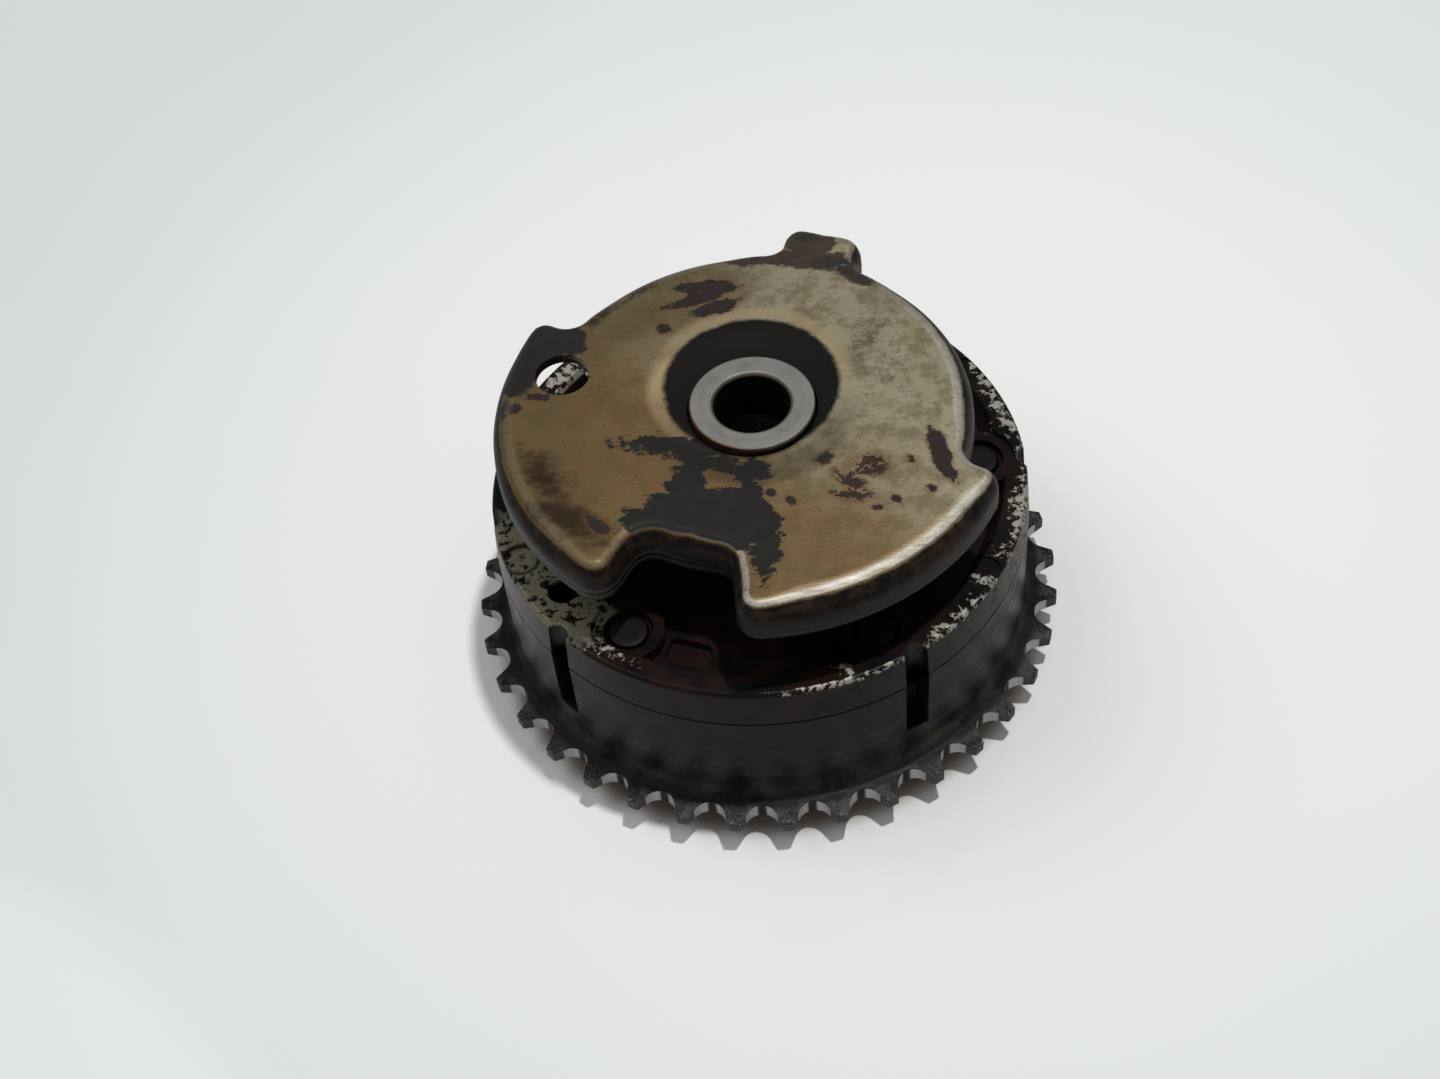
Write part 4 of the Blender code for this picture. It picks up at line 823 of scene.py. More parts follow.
@dataclass
class SprocketStator:
    """Sprocket and stator in one piece, closed below by the rear cover."""

    teeth: int = 36
    pitch: float = 8.0
    seat_r: float = 2.53
    seat_angle: float = 62.0
    tip_rise: float = 0.785
    tooth_azimuth: float = 168.45
    tooth_bevel: float = 0.45
    flare_height: float = 3.0
    flare_foot: float = 43.05
    flare_rows: tuple[float, ...] = (1.0, 0.8, 0.62, 0.46, 0.32, 0.21, 0.12, 0.05, 0.0)
    slot_floor_r: float = 38.195
    slot_z0: float = 13.3
    web_half: float = 10.0
    wide_web: float = 203.6
    seat_steps: int = 12
    dowel_z: float = 13.0
    bore_gap: float = 0.3
    edge: float = 0.14

    def gap(self) -> list[tuple[float, float]]:
        """Azimuth offset and radius of the points of one tooth gap and half the tips beside it."""
        pitch_r = 0.5 * self.pitch / math.sin(math.pi / self.teeth)
        tip_r = pitch_r + self.tip_rise
        plan = []
        for k in range(self.seat_steps + 1):
            a = math.radians(self.seat_angle * (2.0 * k / self.seat_steps - 1.0))
            plan.append((self.seat_r * math.sin(a), pitch_r - self.seat_r * math.cos(a)))
        x_end, y_end = plan[-1]
        slope = math.tan(math.radians(self.seat_angle))
        x_tip = x_end
        for _ in range(20):
            y_tip = math.sqrt(tip_r ** 2 - x_tip ** 2)
            x_tip = x_end + (y_tip - y_end) / slope
        plan = [(-x_tip, y_tip)] + plan + [(x_tip, y_tip)]
        points = [(math.degrees(math.atan2(x, y)), math.hypot(x, y)) for x, y in plan]
        half = 180.0 / self.teeth
        middle = 0.5 * (half + points[-1][0])
        return points + [(middle, tip_r), (half, tip_r), (2.0 * half - middle, tip_r)]

    def body(self) -> Object:
        """The outer form, column by column, with the outside slots."""
        d = DATUM
        step = 360.0 / self.teeth
        columns = []
        for k in range(self.teeth):
            centre = self.tooth_azimuth + step * (k + 0.5)
            columns += [((centre + a) % 360.0, r) for a, r in self.gap()]
        columns.sort()
        count = len(columns)
        upper = [a for a, _ in columns]
        half_slot = 0.5 * d.slot_width
        half = math.degrees(math.asin(half_slot / d.housing_r))
        spans = []
        for azimuth in d.slot_azimuths:
            ends = []
            for edge in (azimuth - half, azimuth + half):
                near = min(range(count), key=lambda i: abs((upper[i] - edge + 180) % 360 - 180))
                upper[near] = edge
                ends.append(near)
            steps = (ends[1] - ends[0]) % count + 1
            spans.append(([(ends[0] + k) % count for k in range(steps)], azimuth))
        bm = bmesh.new()

        def ring(radii: list[float], z: list[float], azimuths: list[float]) -> list:
            """One vertex a column."""
            spots = [polar(r, a) for r, a in zip(radii, azimuths)]
            return [bm.verts.new((x, y, h)) for (x, y), h in zip(spots, z)]

        def level(radius: float, z: float, azimuths: list[float]) -> list:
            """A round ring at one height."""
            return ring([radius] * count, [z] * count, azimuths)

        lower = [a for a, _ in columns]
        outline = [r for _, r in columns]
        tip_r = max(outline)
        bore = d.rotor_r + self.bore_gap
        rise = [self.tooth_bevel * (r - self.flare_foot) / (tip_r - self.flare_foot)
                for r in outline]
        top = level(d.housing_r, d.inner_z1, upper)
        ledge = level(d.housing_r, self.slot_z0, upper)
        rings = [level(bore, d.inner_z1, upper), top, ledge]
        for t in self.flare_rows:
            out = (self.flare_foot - d.housing_r) * (1.0 - math.sqrt(1.0 - (1.0 - t) ** 2))
            rings.append(level(d.housing_r + out, d.sprocket_z1 + self.flare_height * t, lower))
        rings.append(ring(outline, [d.sprocket_z1 - h for h in rise], lower))
        rings.append(ring(outline, [d.sprocket_z0 + h for h in rise], lower))
        rings.append(level(d.recess_r, d.sprocket_z0, lower))
        rings.append(level(d.recess_r, d.inner_z0, upper))
        rings.append(level(bore, d.inner_z0, upper))
        inside = {k for run, _ in spans for k in run[:-1]}
        pairs = list(zip(rings, rings[1:])) + [(rings[-1], rings[0])]
        for row, (one, two) in enumerate(pairs):
            for k in range(count):
                if row >= 2 or k not in inside:
                    j = (k + 1) % count
                    bm.faces.new((one[k], two[k], two[j], one[j]))
        inner = rings[0]
        for run, azimuth in spans:
            a, b = run[0], run[-1]
            turn = Matrix.Rotation(math.radians(azimuth), 2)
            floor = [turn @ Vector((self.slot_floor_r, side)) for side in (-half_slot, half_slot)]
            (ta, la), (tb, lb) = ([bm.verts.new((*spot, z)) for z in (d.inner_z1, self.slot_z0)]
                                  for spot in floor)
            bm.faces.new((top[a], ledge[a], la, ta))
            bm.faces.new((ta, la, lb, tb))
            bm.faces.new((tb, lb, ledge[b], top[b]))
            bm.faces.new([ledge[k] for k in run] + [lb, la])
            bm.faces.new([inner[k] for k in run] + [top[b], tb, ta, top[a]])
        bmesh.ops.recalc_face_normals(bm, faces=bm.faces)
        return Workshop.piece("SprocketStator", bm)

    def build(self) -> Object:
        """The whole piece, with its chambers and holes."""
        d = DATUM
        stator = self.body()
        Workshop.soften(stator, self.edge, 2, 28.0)
        webs = list(d.screw_azimuths[:3]) + [a + 360.0 for a in d.screw_azimuths[3:]]
        spans = [(a + self.web_half, b - self.web_half) for a, b in zip(webs, webs[1:])]
        spans.append((webs[4] - 360.0 + self.web_half, self.wide_web))
        chambers = [sector(d.rotor_r - d.margin, d.chamber_r, a, b) for a, b in spans]
        over = d.inner_z1 + d.margin
        for tool in (
                Workshop.slab("chambers", chambers, d.inner_z0 - 0.5 * d.margin, over),
                Workshop.posts("holes", d.screw_spots(), d.screw_hole_r, d.inner_z0 - d.margin,
                               over),
                Workshop.posts("dowel", d.dowel_spot(), d.dowel_hole_r, self.dowel_z, over)):
            Workshop.carve(stator, tool)
        Workshop.polish(stator, 35.0)
        return stator

    def dress(self) -> None:
        """Build, finish and place the piece."""
        enrol(self.build(), Body.HOUSING, ["stator_sprocket"],
              StatorFinish().material())


@dataclass
class FrontCover:
    """Cast front cover: rim land, wide land, bosses, pads, pocket and notches."""

    draft: float = 0.4
    bore_r: float = 12.3
    floor_z: float = 29.4
    rim_width: float = 3.9
    rim_slope: float = 1.8
    rim_round: float = 0.75
    wide_land: tuple[float, float] = (187.0, 224.0)
    wide_land_width: float = 9.1
    boss_r: float = 5.4
    boss_z: float = 31.5
    boss_clearance: float = 0.05
    boss_bore_r: float = 3.7
    boss_bore_z: float = 30.4
    pad_inset: float = 2.9
    pad_depth: float = 0.3
    pocket_azimuth: float = 246.5
    pocket_inset: float = 8.5
    pocket_size: tuple[float, float] = (4.4, 6.6)
    pocket_corner: float = 1.2
    pocket_depth: float = 1.2
    lip_r: tuple[float, float] = (38.3, 41.1)
    lip_setback: float = 0.1
    lip_overlap: float = 0.5
    edge: float = 0.28

    def blank(self) -> Object:
        """Turned disc with its bore, floor and rim, and on it the wide land and the bosses."""
        d = DATUM
        land_r = d.housing_r - self.rim_width
        top_r = d.housing_r - self.draft - self.rim_round
        arc = [(top_r + self.rim_round * math.sin(0.5 * math.pi * k / 6),
                d.cover_z1 - self.rim_round * (1.0 - math.cos(0.5 * math.pi * k / 6)))
               for k in range(7)]
        profile = [(self.bore_r, self.floor_z), (land_r - self.rim_slope, self.floor_z),
                   (land_r, d.cover_z1)] + arc
        profile += [(d.housing_r, d.cover_z0), (self.bore_r, d.cover_z0)]
        cover = Workshop.lathe("FrontCover", profile)
        spots = d.screw_spots()
        over = d.cover_z1 + d.margin
        Workshop.carve(cover, Workshop.slab(
            "land", [sector(d.housing_r - self.wide_land_width, land_r + 1.5, *self.wide_land)],
            self.floor_z - d.margin, d.cover_z1), Cut.JOIN)
        Workshop.carve(cover, Workshop.posts(
            "boss_tops", spots, self.boss_r + self.boss_clearance, self.boss_z, over, 64))
        Workshop.carve(cover, Workshop.posts(
            "bosses", spots, self.boss_r, self.floor_z - d.margin, self.boss_z, 64), Cut.JOIN)
        return cover

    def pocket(self) -> Object:
        """Tool for the pocket in the floor."""
        corner = self.pocket_corner
        half_r, half_w = (0.5 * size - corner for size in self.pocket_size)
        turn = Matrix.Rotation(math.radians(self.pocket_azimuth), 2)
        outline = []
        for sx, sy, start in ((1, -1, -90), (1, 1, 0), (-1, 1, 90), (-1, -1, 180)):
            for k in range(7):
                x, y = polar(corner, start + 15 * k)
                outline.append(tuple(turn @ Vector((
                    DATUM.housing_r - self.pocket_inset + sx * half_r + x, sy * half_w + y))))
        return Workshop.slab("pocket", [outline], self.floor_z - self.pocket_depth,
                             DATUM.cover_z1 + DATUM.margin)

    def lip(self) -> Object:
        """Ring below the cover that meets the stator, set back from the seam."""
        d = DATUM
        inner, outer = self.lip_r
        top = d.cover_z0 + self.lip_overlap
        lip = Workshop.lathe("lip", [(inner, top), (outer, top), (outer, d.inner_z1),
                                     (inner, d.inner_z1)])
        Workshop.carve(lip, Workshop.posts(
            "notches", d.slot_spots(), 0.5 * d.slot_width + self.lip_setback,
            d.inner_z1 - d.margin, top + d.margin, 40))
        return lip

    def build(self) -> Object:
        """The whole cover."""
        d = DATUM
        cover = self.blank()
        spots = d.screw_spots()
        under, over = d.cover_z0 - d.margin, d.cover_z1 + d.margin
        pads = [polar(d.housing_r - self.pad_inset, a) for a in d.pad_azimuths]
        steps = (
            Workshop.posts("boss_bores", spots, self.boss_bore_r, self.boss_bore_z, over),
            Workshop.posts("screw_holes", spots, d.screw_hole_r, under, over),
            Workshop.posts("dowel_hole", d.dowel_spot(), d.dowel_hole_r, under, over, 40),
            Workshop.posts("notches", d.slot_spots(), 0.5 * d.slot_width, under, over, 40),
            Workshop.posts("pads", pads, d.pad_r, d.cover_z1 - self.pad_depth, over),
            self.pocket(),
        )
        for tool in steps:
            Workshop.carve(cover, tool)
        Workshop.soften(cover, self.edge, 3, 30.0)
        Workshop.attach(cover, self.lip())
        Workshop.polish(cover, 35.0)
        return cover

    def dress(self) -> None:
        """Build, finish and place the piece."""
        enrol(self.build(), Body.HOUSING, ["front_cover"],
              CoverFinish().material())


@dataclass
class RearCover:
    """Rear cover with the collar that the unit stands on."""

    plate_r: float = 39.195
    collar_r: float = 23.0
    collar_bore_r: float = 16.0
    seat_bore_r: float = 5.5
    seat_bore_z: float = 4.95
    edge: float = 0.4

    def build(self, lock: Point) -> Object:
        """The whole cover.

        Args:
            lock: plan position of the locking pin's seat.

        Returns:
            The piece.
        """
        d = DATUM
        profile = [(self.plate_r, d.plate_z1), (self.plate_r, d.sprocket_z0),
                   (self.collar_r, d.sprocket_z0), (self.collar_r, 0.0),
                   (self.collar_bore_r, 0.0), (self.collar_bore_r, d.plate_z1)]
        cover = Workshop.lathe("RearCover", profile, 240)
        Workshop.soften(cover, self.edge, 3)
        over = d.plate_z1 + d.margin
        Workshop.carve(cover, Workshop.posts("screw_holes", d.screw_spots(), d.screw_hole_r,
                                             d.sprocket_z0 - d.margin, over))
        Workshop.carve(cover, Workshop.posts("seat_bore", [lock], self.seat_bore_r,
                                             self.seat_bore_z, over))
        Workshop.polish(cover, 35.0)
        return cover

    def dress(self, lock: Point) -> None:
        """Build, finish and place the piece.

        Args:
            lock: plan position of the locking pin's seat.
        """
        finish = PlainSteelFinish("rear_cover_steel_worn", (0.10, 0.098, 0.094),
                                  (0.045, 0.042, 0.038), 0.5)
        enrol(self.build(lock), Body.HOUSING, ["rear_cover"],
              finish.material())


@dataclass
class CoverScrews:
    """Five screws, their heads at the rear and their ends in the front bosses."""

    shank_r: float = 2.8
    head_r: float = 4.8
    head_z0: float = 0.9
    head_z1: float = 3.7
    end_z: float = 31.1
    socket_r: float = 2.3
    socket_z: float = 2.6
    thread_pitch: float = 0.8

    def profile(self) -> list[Point]:
        """Half section with the last threads showing."""
        points = [(0.0, self.end_z - 0.05), (1.6, self.end_z), (self.shank_r - 0.25, self.end_z)]
        points += [(self.shank_r - 0.08, self.end_z - 0.08), (self.shank_r, self.end_z - 0.25)]
        z = self.end_z - 0.5
        for _ in range(6):
            points += [(self.shank_r, z), (self.shank_r - 0.28, z - 0.4 * self.thread_pitch)]
            z -= self.thread_pitch
        points += [(self.shank_r - 0.1, z), (self.shank_r, z - 0.3), (self.shank_r, self.head_z1)]
        points += [(self.head_r - 0.12, self.head_z1), (self.head_r, self.head_z1 - 0.12)]
        points += [(self.head_r, self.head_z0 + 0.5), (self.head_r - 0.15, self.head_z0 + 0.15)]
        return points + [(self.head_r - 0.5, self.head_z0), (0.0, self.head_z0)]

    def dress(self) -> None:
        """Build, finish and place the five screws."""
        finish = PlainSteelFinish("screw_steel_worn", (0.009, 0.009, 0.010),
                                  (0.006, 0.0055, 0.005), 0.3, 0.45, 0.3, 0.02,
                                  0.15).material()
        for number, spot in enumerate(DATUM.screw_spots(), 1):
            screw = Workshop.lathe(f"CoverScrew_{number}", self.profile(), 48, False, spot)
            Workshop.carve(screw, Workshop.posts("socket", [spot], self.socket_r,
                                                 self.head_z0 - DATUM.margin, self.socket_z, 6))
            Workshop.polish(screw, 30.0)
            enrol(screw, Body.HOUSING, [f"cover_screw_{number}"], finish)


@dataclass
class HubSleeve:
    """Turned sleeve that carries the trigger wheel and seats the central bolt."""

    chamfer: float = 0.45
    edge: float = 0.22
    relief_z: float = 40.0

    def dress(self) -> None:
        """Build, finish and place the piece."""
        d = DATUM
        profile = [
            (d.ring_bore_r + self.chamfer, d.top_z), (d.ring_r, d.top_z),
            (d.ring_r, d.shoulder_z), (d.neck_r, d.shoulder_z), (d.neck_r, d.cover_z0),
            (d.neck_bore_r, d.cover_z0), (d.neck_bore_r, self.relief_z - 1.0),
            (d.ring_bore_r, self.relief_z), (d.ring_bore_r, d.top_z - self.chamfer),
        ]
        sleeve = Workshop.lathe("HubSleeve", profile, 192)
        Workshop.soften(sleeve, self.edge, 3)
        Workshop.polish(sleeve, 35.0)
        enrol(sleeve, Body.ROTOR, ["hub_sleeve"], HubFinish().material())


@dataclass
class TriggerWheel:
    """Drawn sheet wheel: dished centre, flat top, softly bent rim and skirt."""

    low_r: float = 32.7
    step: float = 6.1
    notch_depth: float = 5.1
    sheet: float = 1.8
    corner_roll: float = 2.5
    arc_roll: float = 4.0
    roll_drop: float = 3.6
    roll_ease: float = 7.0
    skirt: float = 6.5
    bore_r: float = 9.64
    dish_depth: float = 1.1
    dish_r: float = 15.6
    floor_r: float = 11.4
    hole_azimuth: float = 160.5
    hole_ring_r: float = 29.4
    hole_r: float = 4.1
    rows_in_bend: int = 9
    ridges: tuple[Point, ...] = ((0.14, 0.0), (0.26, 0.05), (0.38, 0.0), (0.54, 0.0),
                                 (0.66, 0.05), (0.78, 0.0), (1.0, -0.04))
    corner_steps: int = 9
    arc_step: float = 1.25
    dish_steps: int = 144
    edge: float = 0.22
    walls: tuple[tuple[float, int, float], ...] = field(default=(
        (55.6, 0, 0.475), (57.0, 1, 0.55), (76.4, 1, 0.475), (77.4, 0, 0.475),
        (142.1, 0, 0.475), (142.9, 1, 0.475), (231.8, 1, 0.55), (230.4, -1, 0.55),
        (258.4, -1, 0.475), (261.4, 1, 0.55), (332.8, 1, 0.475), (334.0, 0, 0.475)))

    def corners(self) -> list[tuple[Vector, float, float, float]]:
        """Corners of the outline: point, azimuth, radius and rounding."""
        radii = {-1: self.low_r - self.notch_depth, 0: self.low_r, 1: self.low_r + self.step}
        return [(Vector(polar(radii[tier], a)), a, radii[tier], part * self.step)
                for a, tier, part in self.walls]

    @staticmethod
    def rounding(here: tuple, wall_end: Vector, tangent: Vector) -> tuple[Vector, Vector, Vector]:
        """Circle that rounds a corner between a straight wall and an arc about the axis.

        Args:
            here: the corner, from corners().
            wall_end: the other end of the wall.
            tangent: the way in which the arc leaves the corner.

        Returns:
            The circle's centre, and the points where it meets the wall and the arc.
        """
        spot, _, radius, part = here
        wall = (wall_end - spot).normalized()
        start = spot + (tangent - wall * tangent.dot(wall)).normalized() * part
        reach = radius + math.copysign(part, wall.dot(spot))
        half = start.dot(wall)
        root = math.sqrt(half * half - start.length_squared + reach * reach)
        along = min(t for t in (-half - root, -half + root) if t > 0.0)
        centre = start + wall * along
        return centre, spot + wall * along, centre.normalized() * radius

    def outline(self) -> tuple[list[Vector], list[Vector]]:
        """Arcs and walls between the corners, each corner rounded.

        Returns:
            The points, and those of them that lie in a corner.
        """
        corners = self.corners()
        count = len(corners)
        turns = []
        for i, here in enumerate(corners):
            before, after = corners[i - 1], corners[(i + 1) % count]
            arc_first = math.isclose(here[2], before[2])
            tangent = Vector(polar(-1.0 if arc_first else 1.0, here[1] + 90.0))
            centre, on_wall, on_arc = self.rounding(
                here, after[0] if arc_first else before[0], tangent)
            first, last = (on_arc, on_wall) if arc_first else (on_wall, on_arc)
            turns.append((centre, first, last))
        points = []
        tight = []
        for i, (centre, first, last) in enumerate(turns):
            start, end = (first - centre).normalized(), (last - centre).normalized()
            turned = [centre + start.slerp(end, k / self.corner_steps) * corners[i][3]
                      for k in range(self.corner_steps + 1)]
            points += turned
            tight += turned
            after = turns[(i + 1) % count][1]
            if math.isclose(corners[i][2], corners[(i + 1) % count][2]):
                a0 = math.degrees(math.atan2(last.y, last.x))
                free = (math.degrees(math.atan2(after.y, after.x)) - a0) % 360.0
                steps = max(1, round(free / self.arc_step))
                points += [Vector(polar(corners[i][2], a0 + free * k / steps))
                           for k in range(1, steps)]
            else:
                points += [last.lerp(after, k / 3) for k in (1, 2)]
        return points, tight

    def rolls(self, points: list[Vector], tight: list[Vector]) -> list[float]:
        """Width of the rolled edge at each point: less in the corners than along the arcs."""
        widths = []
        for p in points:
            t = min(1.0, min((p - q).length for q in tight) / self.roll_ease)
            widths.append(self.corner_roll
                          + (self.arc_roll - self.corner_roll) * t * t * (3.0 - 2.0 * t))
        return widths

    @staticmethod
    def inset(points: list[Vector], distances: list[float]) -> list[Vector]:
        """Outline moved inwards along its normals, each point by its own distance."""
        moved = []
        for i, p in enumerate(points):
            before = (p - points[i - 1]).normalized()
            after = (points[(i + 1) % len(points)] - p).normalized()
            tangent = (before + after).normalized()
            scale = 1.0 / math.sqrt(0.5 * (1.0 + before.dot(after)))
            moved.append(p + Vector((-tangent.y, tangent.x)) * distances[i] * scale)
        return moved

    def dish_profile(self) -> list[Point]:
        """Half section of the dish from its bore to the flat top."""
        top = DATUM.top_z
        points = [(self.bore_r, top - self.dish_depth)]
        count = 12
        inner, outer = self.floor_r - 0.9, self.dish_r + 0.9
        for k in range(count + 1):
            t = k / count
            lift = t * t * (3.0 - 2.0 * t)
            points.append((inner + (outer - inner) * t, top - self.dish_depth * (1.0 - lift)))
        return points

    def build(self) -> Object:
        """The whole wheel."""
        bm = bmesh.new()
        top = DATUM.top_z
        outline, tight = self.outline()
        widths = self.rolls(outline, tight)

        def ring(points: list, z: float) -> list:
            """Vertices of one closed ring."""
            return [bm.verts.new((p[0], p[1], z)) for p in points]

        def loop(verts: list) -> list:
            """Edges round a ring."""
            return [bm.edges.get((a, b)) or bm.edges.new((a, b))
                    for a, b in zip(verts, verts[1:] + verts[:1])]

        rim = [ring(self.inset(outline, widths), top)]
        for k in range(1, self.rows_in_bend + 1):
            a = 0.5 * math.pi * k / self.rows_in_bend
            rim.append(ring(self.inset(outline, [w * (1.0 - math.sin(a)) for w in widths]),
                            top - self.roll_drop * (1.0 - math.cos(a))))
        for k, out in self.ridges:
            rim.append(ring(self.inset(outline, [-out] * len(outline)),
                            top - self.roll_drop - (self.skirt - self.roll_drop) * k))
        dish = [ring(ring_points(r, self.dish_steps), z) for r, z in self.dish_profile()]
        for first, second in list(zip(rim, rim[1:])) + list(zip(dish, dish[1:])):
            Workshop.band(bm, first, second)
        centre = polar(self.hole_ring_r, self.hole_azimuth)
        hole = ring(ring_points(self.hole_r, 48, centre), top)
        edges = loop(rim[0]) + loop(dish[-1]) + loop(hole)
        bmesh.ops.triangle_fill(bm, use_beauty=True, use_dissolve=False, edges=edges)
        bmesh.ops.recalc_face_normals(bm, faces=bm.faces)
        face = max(bm.faces, key=lambda f: f.calc_center_median().z * f.calc_area())
        if face.normal.z < 0.0:
            bmesh.ops.reverse_faces(bm, faces=bm.faces)
        wheel = Workshop.piece("TriggerWheel", bm)
        shell = wheel.modifiers.new("sheet", 'SOLIDIFY')
        shell.thickness = self.sheet
        shell.offset = -1.0
        shell.use_even_offset = True
        Workshop.bake(wheel)
        Workshop.soften(wheel, self.edge, 2, 50.0)
        Workshop.polish(wheel, 40.0)
        return wheel

    def dress(self) -> None:
        """Build, finish and place the piece."""
        enrol(self.build(), Body.ROTOR, ["trigger_wheel"],
              WheelFinish().material())


@dataclass
class LockingSpring:
    """Coil spring between the locking pin and the roof of its bore."""

    wire_r: float = 0.40
    coil_r: float = 2.1
    turns: int = 5
    steps: int = 36
    section: int = 10
    bore_roof: float = 22.15
    pin_floor: float = 11.65
    clearance: float = 0.30
    travel: float = 2.0
    end_turns: float = 0.75
    end_pitch: float = 1.05

    def height(self, turn: float) -> float:
        """Height of the wire's centre after a number of turns, the end turns laid flat."""
        low = self.pin_floor + self.wire_r + self.clearance
        high = self.bore_roof - self.wire_r - self.clearance
        flat = self.end_turns * self.end_pitch
        if turn < self.end_turns:
            return low + turn * self.end_pitch
        if turn > self.turns - self.end_turns:
            return high - (self.turns - turn) * self.end_pitch
        share = (turn - self.end_turns) / (self.turns - 2.0 * self.end_turns)
        return low + flat + (high - low - 2.0 * flat) * share

    def build(self, spot: Point) -> Object:
        """The coil, swept along its helix.

        Args:
            spot: plan position of the coil's axis.

        Returns:
            The piece.
        """
        bm = bmesh.new()
        rings = []
        for k in range(self.turns * self.steps + 1):
            turn = k / self.steps
            out = Vector((*polar(1.0, 360.0 * turn), 0.0))
            along = Vector((-out.y, out.x, 0.0))
            centre = Vector((*spot, self.height(turn))) + out * self.coil_r
            up = out.cross(along)
            rings.append([bm.verts.new(centre + (out * x + up * z) * self.wire_r)
                          for x, z in ring_points(1.0, self.section)])
        for one, two in zip(rings, rings[1:]):
            Workshop.band(bm, one, two)
        bm.faces.new(rings[0])
        bm.faces.new(rings[-1])
        bmesh.ops.recalc_face_normals(bm, faces=bm.faces)
        spring = Workshop.piece("LockingSpring", bm)
        Workshop.polish(spring, 60.0)
        return spring

    def dress(self, spot: Point, finish: Material) -> None:
        """Build, finish and place the coil.

        Args:
            spot: plan position of the coil's axis.
            finish: the springs' material.
        """
        spring = enrol(self.build(spot), Body.ROTOR, ["locking_spring"], finish)
        spot[0] * MM
        spot[1] * MM
        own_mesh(spring)


@dataclass
class RotorSet:
    """Rotor with its vanes, seal, springs, dowel and locking pin."""

    lock_ring_r: float = 28.995
    lobe_azimuth: float = 185.1
    steels: dict[str, PlainSteelFinish] = field(default_factory=lambda: {
        "rotor_steel": PlainSteelFinish("rotor_steel_ground", (0.26, 0.255, 0.25),
                                        (0.15, 0.145, 0.14), 0.5, 0.32, 0.9),
        "vane_steel": PlainSteelFinish("vane_steel_ground", (0.36, 0.36, 0.36),
                                       (0.24, 0.24, 0.24), 0.3, 0.24, 0.95),
        "spring_steel": PlainSteelFinish("spring_steel_drawn", (0.32, 0.31, 0.29),
                                         (0.20, 0.19, 0.17), 0.3, 0.3, 0.95),
        "pin_steel": PlainSteelFinish("pin_steel_ground", (0.42, 0.42, 0.42),
                                      (0.28, 0.28, 0.28), 0.3, 0.22, 0.95),
        "seal": PlainSteelFinish("seal_polymer_moulded", (0.045, 0.040, 0.036),
                                 (0.03, 0.027, 0.024), 0.4, 0.5, 0.0),
        "dowel": PlainSteelFinish("dowel_steel", (0.06, 0.058, 0.055),
                                  (0.03, 0.028, 0.025), 0.3, 0.35, 0.8),
    })

    def lock(self) -> Point:
        """Plan position of the locking pin."""
        return polar(self.lock_ring_r, self.lobe_azimuth)

    def dress(self) -> None:
        """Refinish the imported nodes, whose shapes stay, and coil the locking spring."""
        made = {key: steel.material() for key, steel in self.steels.items()}
        plan = {"rotor": "rotor_steel", "lobe_seal": "seal", "lobe_seal_spring": "spring_steel",
                "locking_pin": "pin_steel", "locking_pin_seat": "pin_steel",
                "cover_dowel": "dowel"}
        for k in range(1, 5):
            plan[f"vane_{k}"] = "vane_steel"
            plan[f"vane_spring_{k}"] = "spring_steel"
        for node, key in plan.items():
            redress(node, made[key])
        LockingSpring().dress(self.lock(), made["spring_steel"])


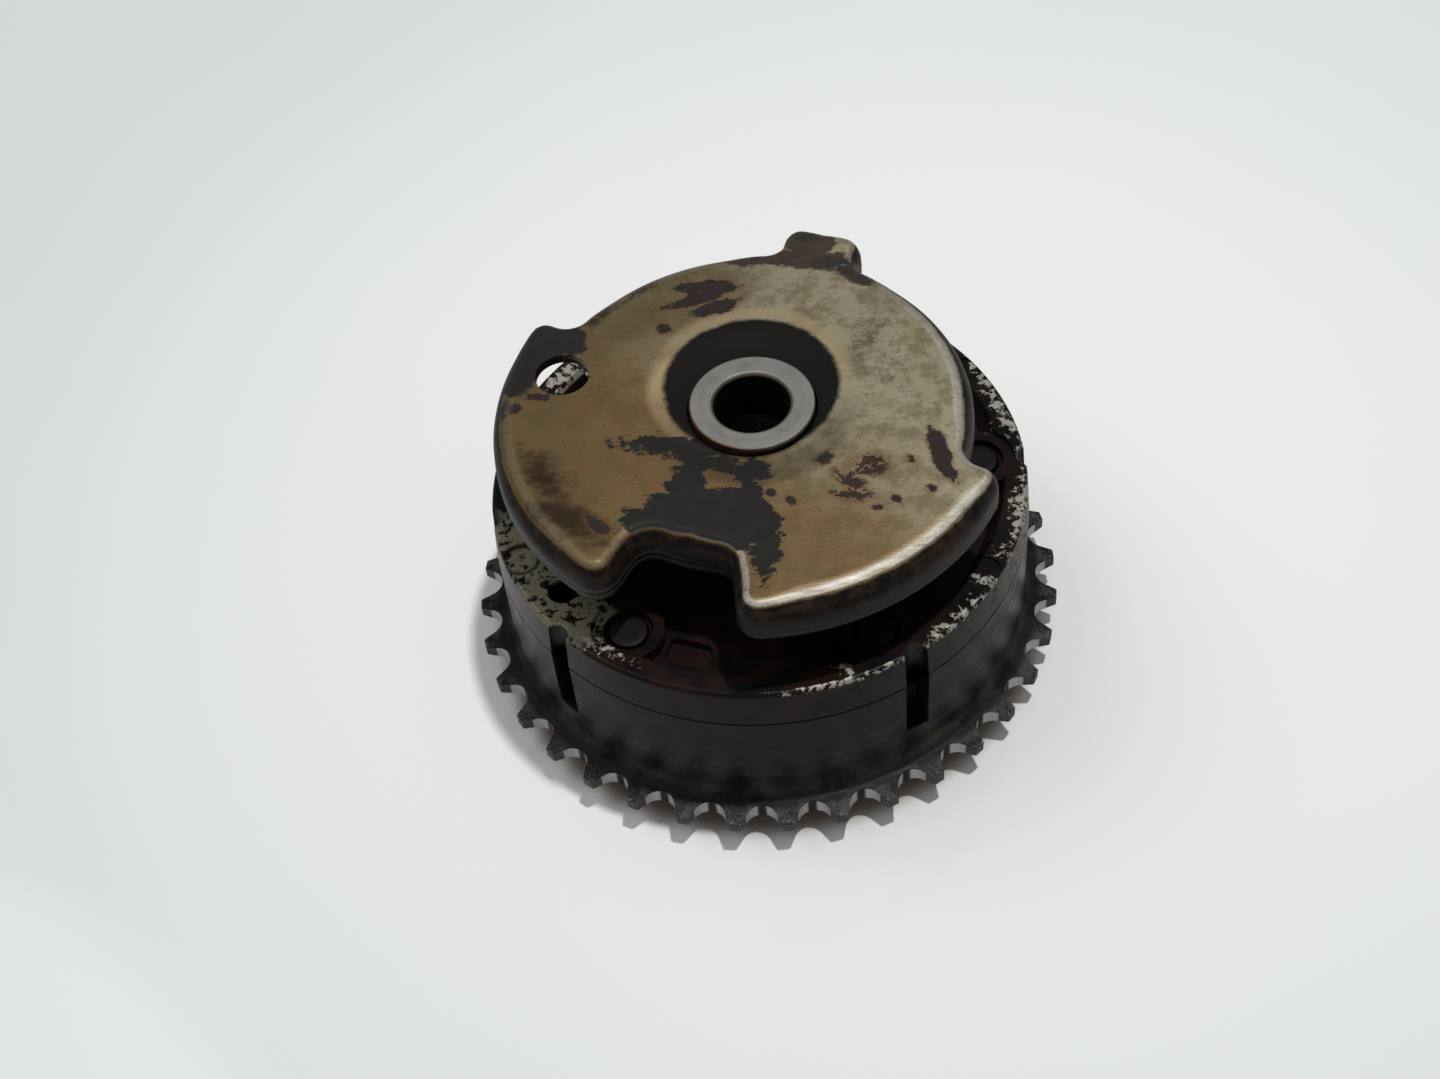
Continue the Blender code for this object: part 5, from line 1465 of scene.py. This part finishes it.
@dataclass
class Studio:
    """Pale table, soft light from the right and behind, and the photograph's camera."""

    lens: float = 53.472
    elevation: float = 50.69502
    roll: float = -6.2436
    distance: float = 359.295
    target: Triple = (-6.845, 12.724, 2.13)
    sensor: float = 36.0
    clip: tuple[float, float] = (0.01, 20.0)
    floor_size: float = 4000.0
    floor_depth: float = 20.0
    # floor tones near the object and far off, for the painted light falloff
    near: Colour = (0.86, 0.87, 0.86)
    far: Colour = (0.68, 0.70, 0.705)
    # brown of the painted shadow and reflection of the underside on the floor
    underside_reflection: Colour = (0.30, 0.215, 0.16)
    sky: Colour = (0.95, 0.98, 1.0)
    sky_strength: float = 0.33
    lamps: tuple[tuple[str, Triple, float, float], ...] = (
        ("key", (0.28, 0.05, 1.43), 0.07, 11.6), ("fill", (-0.95, 0.35, 1.5), 1.2, 6.8))

    def camera(self) -> None:
        """Place the camera."""
        e, r = math.radians(self.elevation), math.radians(self.roll)
        back = Vector((0.0, -math.cos(e), math.sin(e)))
        right = Vector((1.0, 0.0, 0.0))
        up = right.cross(-back)
        across = math.cos(r) * right + math.sin(r) * up
        upward = -math.sin(r) * right + math.cos(r) * up
        data = bpy.data.cameras.new("camera")
        data.lens = self.lens
        data.sensor_width = self.sensor
        data.sensor_fit = 'HORIZONTAL'
        data.clip_start, data.clip_end = self.clip
        obj = bpy.data.objects.new("camera", data)
        turn = Matrix((across, upward, back)).transposed().to_4x4()
        obj.matrix_world = Matrix.Translation((Vector(self.target) + back * self.distance) * MM) \
            @ turn
        bpy.context.scene.collection.objects.link(obj)
        bpy.context.scene.camera = obj

    def floor(self) -> None:
        """A glossy pale table top, with painted light falloff away from the object and a painted
        brown shadow and reflection of the underside beneath its edge.
        """
        half = 0.5 * self.floor_size
        square = [(-half, -half), (half, -half), (half, half), (-half, half)]
        table = Workshop.slab("table", [square], -self.floor_depth, 0.0)
        Workshop.in_metres(table)
        b = Bench("table_top")
        veil = b.noise(60.0, 3.0, 0.5)
        # Floor lighter near the object and darker further off: painted light falloff.
        away = (b.r - (b.x + b.y) * 0.2).ramp(40.0, 200.0)
        b.base = b.mix(self.near, self.far, away * 0.9 + veil * 0.1)
        # Brown under the sprocket's edge: painted shadow with the painted reflection of the brown
        # underside.
        b.coat(self.underside_reflection, 0.9 - b.r.ramp(42.0, 46.0) * 0.9)
        table.data.materials.append(b.finish(Roughness=0.08 + veil * 0.03))

    def light(self) -> None:
        """World and disc lamps, whose places and sizes are in metres, aimed at the origin."""
        scene = bpy.context.scene
        world = bpy.data.worlds.new("studio")
        world.use_nodes = True
        sky = world.node_tree.nodes["Background"]
        sky.inputs["Color"].default_value = (*self.sky, 1.0)
        sky.inputs["Strength"].default_value = self.sky_strength
        scene.world = world
        scene.view_settings.view_transform = 'Standard'
        for name, place, size, power in self.lamps:
            data = bpy.data.lights.new(name, 'AREA')
            data.shape = 'DISK'
            data.size = size
            data.energy = power
            obj = bpy.data.objects.new(name, data)
            obj.location = place
            obj.rotation_euler = (-Vector(place)).to_track_quat('-Z', 'Y').to_euler()
            scene.collection.objects.link(obj)


def main() -> None:
    """Build every sub-assembly in order."""
    logging.basicConfig(level=logging.INFO, format="%(name)s: %(message)s")
    studio = Studio()
    studio.camera()
    studio.floor()
    studio.light()
    rotor = RotorSet()
    SprocketStator().dress()
    FrontCover().dress()
    RearCover().dress(rotor.lock())
    CoverScrews().dress()
    rotor.dress()
    HubSleeve().dress()
    TriggerWheel().dress()


if __name__ == "__main__":
    main()
